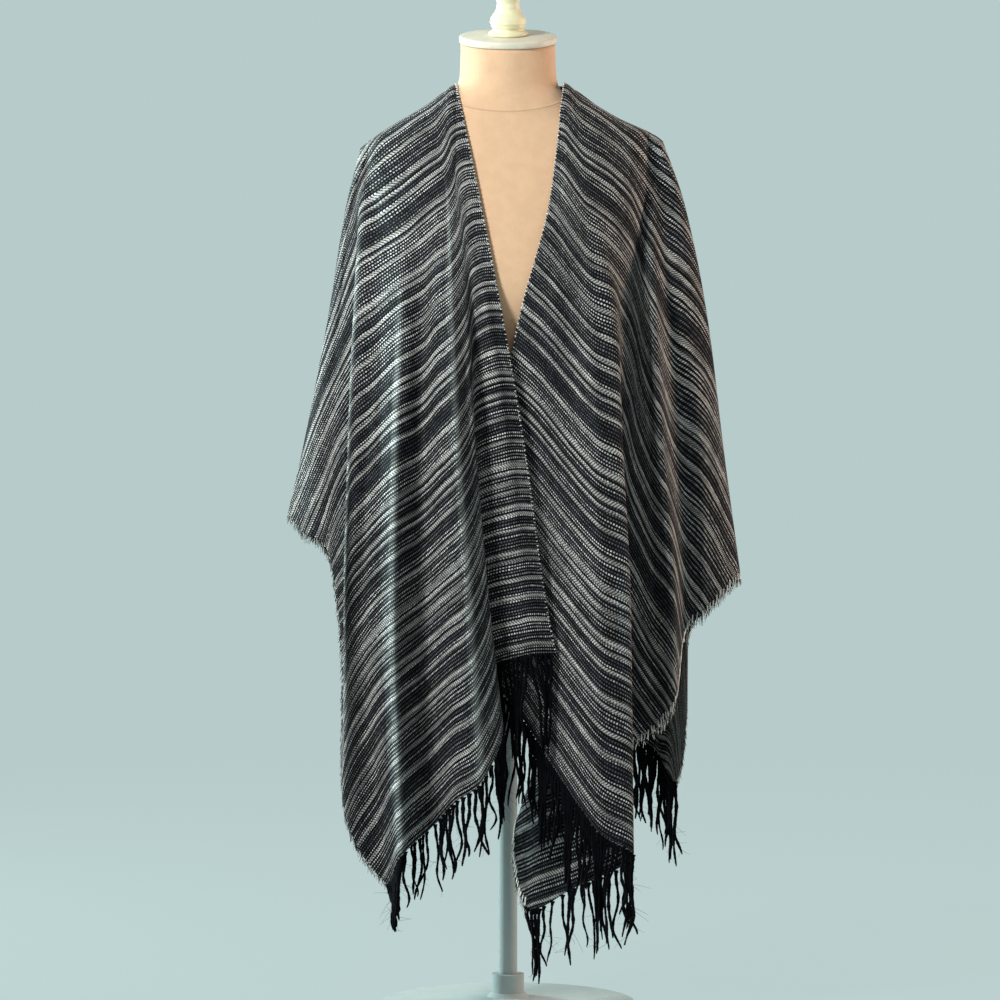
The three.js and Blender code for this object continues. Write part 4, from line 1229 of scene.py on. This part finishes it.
class CAPE_OT_edge_trim(bpy.types.Operator):
    """Build the weft ends and stitches along the side edges and the pale loops along the slit"""

    bl_idname = "cape.edge_trim"
    bl_label = "Edge trim"

    def execute(self, context):
        settings = context.scene.cape_settings
        yarn = yarn_material("Black yarn", settings.yarn_color, DARK_SHEEN)
        pale = yarn_material("Pale yarn", settings.pale_yarn, PALE_SHEEN)
        length = settings.weft_end_length / MM
        for seed, panel in enumerate(PANELS):
            grids = panel_grids(panel, settings.cloth_thickness / MM)
            dark_lines, dark_radii, pale_lines, pale_radii = [], [], [], []
            for first, last in side_edges(panel):
                edge = lower_edge(grids, first, last)
                lines, radii = short_ends(*edge, DARK_WEFT_SPACING, length, seed + DARK_WEFT_SEED)
                dark_lines += lines
                dark_radii += radii
                lines, radii = short_ends(*edge, PALE_WEFT_SPACING, length, seed + PALE_WEFT_SEED)
                pale_lines += lines
                pale_radii += [radius * PALE_WEFT_THICKER for radius in radii]
            pieces = [
                strand_piece("weft_ends_" + panel["node"], dark_lines, dark_radii, 3, yarn),
                strand_piece("pale_weft_ends_" + panel["node"], pale_lines, pale_radii, 3, pale),
            ]
            if panel["slit"] is not None:
                pieces.append(self.slit_loops(panel, grids, pale, seed))
            if panel["stitched_edge"]:
                pieces.append(self.edge_stitches(panel, grids, pale, seed))
            for piece in pieces:
                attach(piece, "root")
        return {"FINISHED"}

    def slit_loops(self, panel, grids, material, seed):
        """Small pale stitches over the slit edge of a front."""
        chance = random.Random(seed + LOOP_SEED)
        edge = grids["middle"][0]
        off_edge = unit(edge - grids["middle"][1])
        along = arc_lengths(edge)
        angle = np.linspace(-1.1, 1.1, 6)[:, None] * math.pi / 2
        lines, radii = [], []
        at = 3.0
        while at < along[-1] - 2:
            root, off, out = at_length(at, along, edge, off_edge, grids["normals"][0])
            loop = LOOP_REACH * np.cos(angle) * off + LOOP_HEIGHT * np.sin(angle) * out
            lines.append(root - off * LOOP_INSET + loop)
            radii.append(np.full(6, chance.uniform(0.45, 0.7)))
            at += chance.uniform(4.2, 6.8)
        return strand_piece("slit_loops_" + panel["node"], lines, radii, 4, material)

    def edge_stitches(self, panel, grids, material, seed):
        """Pale slanted stitches wrapped over the side edge of a front."""
        chance = random.Random(seed + STITCH_SEED)
        (first, last), = side_edges(panel)
        edge, off_edge, sideways = lower_edge(grids, first, last)
        outward = grids["normals"][first:last + 1, -1]
        along = arc_lengths(edge)
        angle = np.linspace(-math.pi / 2, math.pi / 2, 9)[:, None]
        rise = STITCH_HEIGHT * np.sign(np.sin(angle)) * np.sqrt(np.abs(np.sin(angle)))
        lines, radii = [], []
        at = 2.0
        while at < along[-1] - 2:
            root, off, side, out = at_length(at, along, edge, off_edge, sideways, outward)
            reach = chance.uniform(4.5, 9.0)
            wrap = (reach + STITCH_OVERHANG) * np.cos(angle) - reach
            slant = chance.uniform(-1.5, 1.5) * np.cos(angle)
            lines.append(root + off * wrap + side * slant + out * rise)
            radii.append(np.full(9, chance.uniform(0.55, 0.85)))
            at += chance.uniform(4.5, 7.5)
        return strand_piece("edge_stitches_" + panel["node"], lines, radii, 4, material)


class CAPE_OT_dress_form(bpy.types.Operator):
    """Build the linen covered limbless form with its neck"""

    bl_idname = "cape.dress_form"
    bl_label = "Dress form"

    def execute(self, context):
        settings = context.scene.cape_settings
        heights = np.concatenate([
            np.linspace(low[0], high[0], 9)[:-1] for low, high in zip(FORM_RINGS, FORM_RINGS[1:])
        ] + [[NECK_TOP]])
        half, front, back = (
            smooth_along(RING_HEIGHTS, values, heights)[:, None]
            for values in (RING_HALVES, RING_FRONTS, RING_BACKS)
        )
        power = squareness(heights)[:, None]
        angle = 2 * np.pi * np.arange(FORM_AROUND)[None, :] / FORM_AROUND
        c, s = np.cos(angle), np.sin(angle)
        x = half * np.sign(c) * np.abs(c) ** (2 / power)
        y = np.where(s < 0, front, back) * np.sign(s) * np.abs(s) ** (2 / power)
        tilt = math.tan(NECK_TILT) * smoothstep(heights, TILT_FROM, NECK_TOP)[:, None]
        points = np.stack([x, y, heights[:, None] + y * tilt], axis=-1).reshape(-1, 3)
        ids, faces = ring_walls(len(heights), FORM_AROUND)
        faces += [ids[0, ::-1].tolist(), ids[-1].tolist()]
        piece = add_piece("form_linen", points, faces, linen_material(settings), flat_faces=2)
        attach(piece, "root")
        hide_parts("form_torso")
        return {"FINISHED"}


# Radius and height of the neck cap's and the finial's turned outlines, in millimetres
CAP_OUTLINE = [
    (0, 0.3), (55.5, 0.3), (56.8, 0.8), (57.7, 1.7), (58.0, 2.9), (58.0, 6.7),
    (57.7, 7.9), (56.8, 8.8), (55.5, 9.3), (0, 9.3),
]
FINIAL_OUTLINE = [
    (0, 9.6), (22.3, 9.6), (23.3, 10.5), (23.5, 11.8), (22.9, 13.2), (21.0, 14.4), (19.2, 15.2),
    (18.2, 16.4), (18.0, 17.8), (19.3, 19.2), (20.6, 20.6), (19.9, 21.9), (20.7, 23.2), (21.4, 24.6),
    (21.5, 26.2), (20.6, 27.7), (20.7, 29.2), (20.4, 30.8), (18.9, 32.3), (18.2, 34.0), (16.2, 36.4),
    (15.4, 38.2), (14.6, 39.4), (13.4, 42.6), (14.1, 44.4), (13.0, 46.2), (13.0, 48.6), (14.3, 52.2),
    (15.2, 55.6), (15.6, 60.0), (15.0, 64.4), (13.4, 67.6), (11.0, 70.4), (8.0, 72.1), (4.0, 73.2),
    (0, 73.6),
]


class CAPE_OT_neck_wood(bpy.types.Operator):
    """Build the turned neck cap and finial"""

    bl_idname = "cape.neck_wood"
    bl_label = "Neck cap and finial"

    def execute(self, context):
        settings = context.scene.cape_settings
        paint = painted_material("Cap paint", settings.wood_color, 0.86, 0.5)
        turned = painted_material("Finial paint", settings.finial_color, 0.8, 0.45)
        pieces = [
            (turned_piece("turned_neck_cap", CAP_OUTLINE, CAP_AROUND, paint), "neck_cap"),
            (turned_piece("turned_finial", FINIAL_OUTLINE, FINIAL_AROUND, turned), "finial"),
        ]
        for piece, node in pieces:
            piece.location = (0, 0, NECK_TOP * MM)
            piece.rotation_euler = (NECK_TILT, 0, 0)
            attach(piece, "root")
            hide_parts(node)
        return {"FINISHED"}


class CAPE_OT_stand(bpy.types.Operator):
    """Give the stand's base and pole their painted finish"""

    bl_idname = "cape.stand"
    bl_label = "Stand"

    def execute(self, context):
        settings = context.scene.cape_settings
        paint = painted_material("Stand paint", settings.stand_color, 0.9, 0.65)
        for name in ("stand_base", "stand_pole"):
            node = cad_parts[name]
            node.data.materials.clear()
            node.data.materials.append(paint)
        return {"FINISHED"}


# Stage, in metres
SWEEP_HALF = 9.0
SWEEP_BELOW = 0.0005
WALL_PLACE = 4.6
WALL_RADIUS = 1.4
WALL_TOP = 9.0
BACKDROP_TINT = 0.07
BACKDROP_GLOW = 0.96
ROOM_COLOR = (0.80, 0.90, 0.92, 1)
ROOM_STRENGTH = 0.20
CAMERA_PLACE = (0, -4.5, 0.70)
CAMERA_SENSOR = 36
CAMERA_LENS = 136.6
CAMERA_SHIFT = (-0.008, -0.0833)

# Name, place, aim, width and height, power and colour of each light
LIGHTS = [
    ("key", (-1.5, -1.6, 1.9), (0, 0, 0.95), (0.5, 0.5), 70, (0.97, 0.99, 0.96)),
    ("window_left", (-2.1, 0.85, 1.2), (0, 0, 0.6), (0.4, 1.6), 90, (0.76, 1.0, 0.99)),
    ("room_right", (2.3, 0.45, 1.3), (0, 0, 0.8), (0.6, 1.8), 50, (1.0, 0.70, 0.55)),
    ("front_fill", (0.6, -3.6, 2.6), (0, 0, 1.0), (1.0, 1.0), 16, (1.0, 0.90, 0.80)),
]


def area_light(name, place, aim, size, power, color):
    """A soft rectangular light aimed at a point."""
    data = bpy.data.lights.new(name, "AREA")
    data.shape = "RECTANGLE"
    data.size, data.size_y = size
    data.energy = power
    data.color = color
    light = bpy.data.objects.new(name, data)
    bpy.context.scene.collection.objects.link(light)
    light.location = place
    way = np.array(aim) - np.array(place)
    light.rotation_mode = "QUATERNION"
    light.rotation_quaternion = Vector(way.tolist()).to_track_quat("-Z", "Y")
    return light


class CAPE_OT_stage(bpy.types.Operator):
    """Set the plain floor and backdrop, the soft lights and the camera"""

    bl_idname = "cape.stage"
    bl_label = "Stage"

    def execute(self, context):
        settings = context.scene.cape_settings
        scene = context.scene
        profile = [(-SWEEP_HALF, 0.0), (WALL_PLACE, 0.0)]
        profile += [
            (WALL_PLACE + WALL_RADIUS * math.sin(a), WALL_RADIUS * (1 - math.cos(a)))
            for a in np.linspace(0.08, math.pi / 2, 18)
        ]
        profile += [(WALL_PLACE + WALL_RADIUS, WALL_TOP)]
        points = [(x, y, z - SWEEP_BELOW) for x in (-SWEEP_HALF, SWEEP_HALF) for y, z in profile]
        count = len(profile)
        faces = [(i, count + i, count + i + 1, i + 1) for i in range(count - 1)]
        material, nodes, shader = new_material("Sweep paint")
        color = tuple(settings.backdrop_color)
        nodes.feed(shader.inputs["Base Color"], (*(channel * BACKDROP_TINT for channel in color), 1))
        nodes.feed(shader.inputs["Roughness"], 1)
        nodes.feed(shader.inputs["Specular IOR Level"], 0)
        nodes.feed(shader.inputs["Emission Color"], (*color, 1))
        nodes.feed(shader.inputs["Emission Strength"], BACKDROP_GLOW)
        sweep = add_piece("sweep", np.array(points) / MM, faces, material)

        world = bpy.data.worlds.new("Soft room")
        world.use_nodes = True
        background = world.node_tree.nodes["Background"]
        background.inputs["Color"].default_value = ROOM_COLOR
        background.inputs["Strength"].default_value = ROOM_STRENGTH
        scene.world = world
        scene.view_settings.view_transform = "Standard"
        for light in LIGHTS:
            area_light(*light)

        data = bpy.data.cameras.new("camera")
        data.sensor_width = CAMERA_SENSOR
        data.lens = CAMERA_LENS
        data.shift_x, data.shift_y = CAMERA_SHIFT
        camera = bpy.data.objects.new("camera", data)
        scene.collection.objects.link(camera)
        camera.location = CAMERA_PLACE
        camera.rotation_euler = (math.pi / 2, 0, 0)
        scene.camera = camera
        return {"FINISHED"}


class CAPE_PT_panel(bpy.types.Panel):
    """Lists the cape's settings and its build steps"""

    bl_idname = "CAPE_PT_panel"
    bl_label = "Cape on a dress form"
    bl_space_type = "VIEW_3D"
    bl_region_type = "UI"
    bl_category = "Cape"

    def draw(self, context):
        settings = context.scene.cape_settings
        for name in CapeSettings.__annotations__:
            self.layout.prop(settings, name)
        for operator in OPERATORS:
            self.layout.operator(operator.bl_idname)


OPERATORS = [
    CAPE_OT_dress_form, CAPE_OT_neck_wood, CAPE_OT_stand, CAPE_OT_fringe, CAPE_OT_edge_trim,
    CAPE_OT_woven_panels, CAPE_OT_stage,
]
CLASSES = [CapeSettings, *OPERATORS, CAPE_PT_panel]


def register():
    for cls in CLASSES:
        bpy.utils.register_class(cls)
    bpy.types.Scene.cape_settings = bpy.props.PointerProperty(type=CapeSettings)


def unregister():
    del bpy.types.Scene.cape_settings
    for cls in reversed(CLASSES):
        bpy.utils.unregister_class(cls)


def main():
    register()
    bpy.ops.cape.dress_form()
    bpy.ops.cape.neck_wood()
    bpy.ops.cape.stand()
    bpy.ops.cape.fringe()
    bpy.ops.cape.edge_trim()
    bpy.ops.cape.woven_panels()
    bpy.ops.cape.stage()
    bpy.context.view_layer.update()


if __name__ == "__main__":
    main()
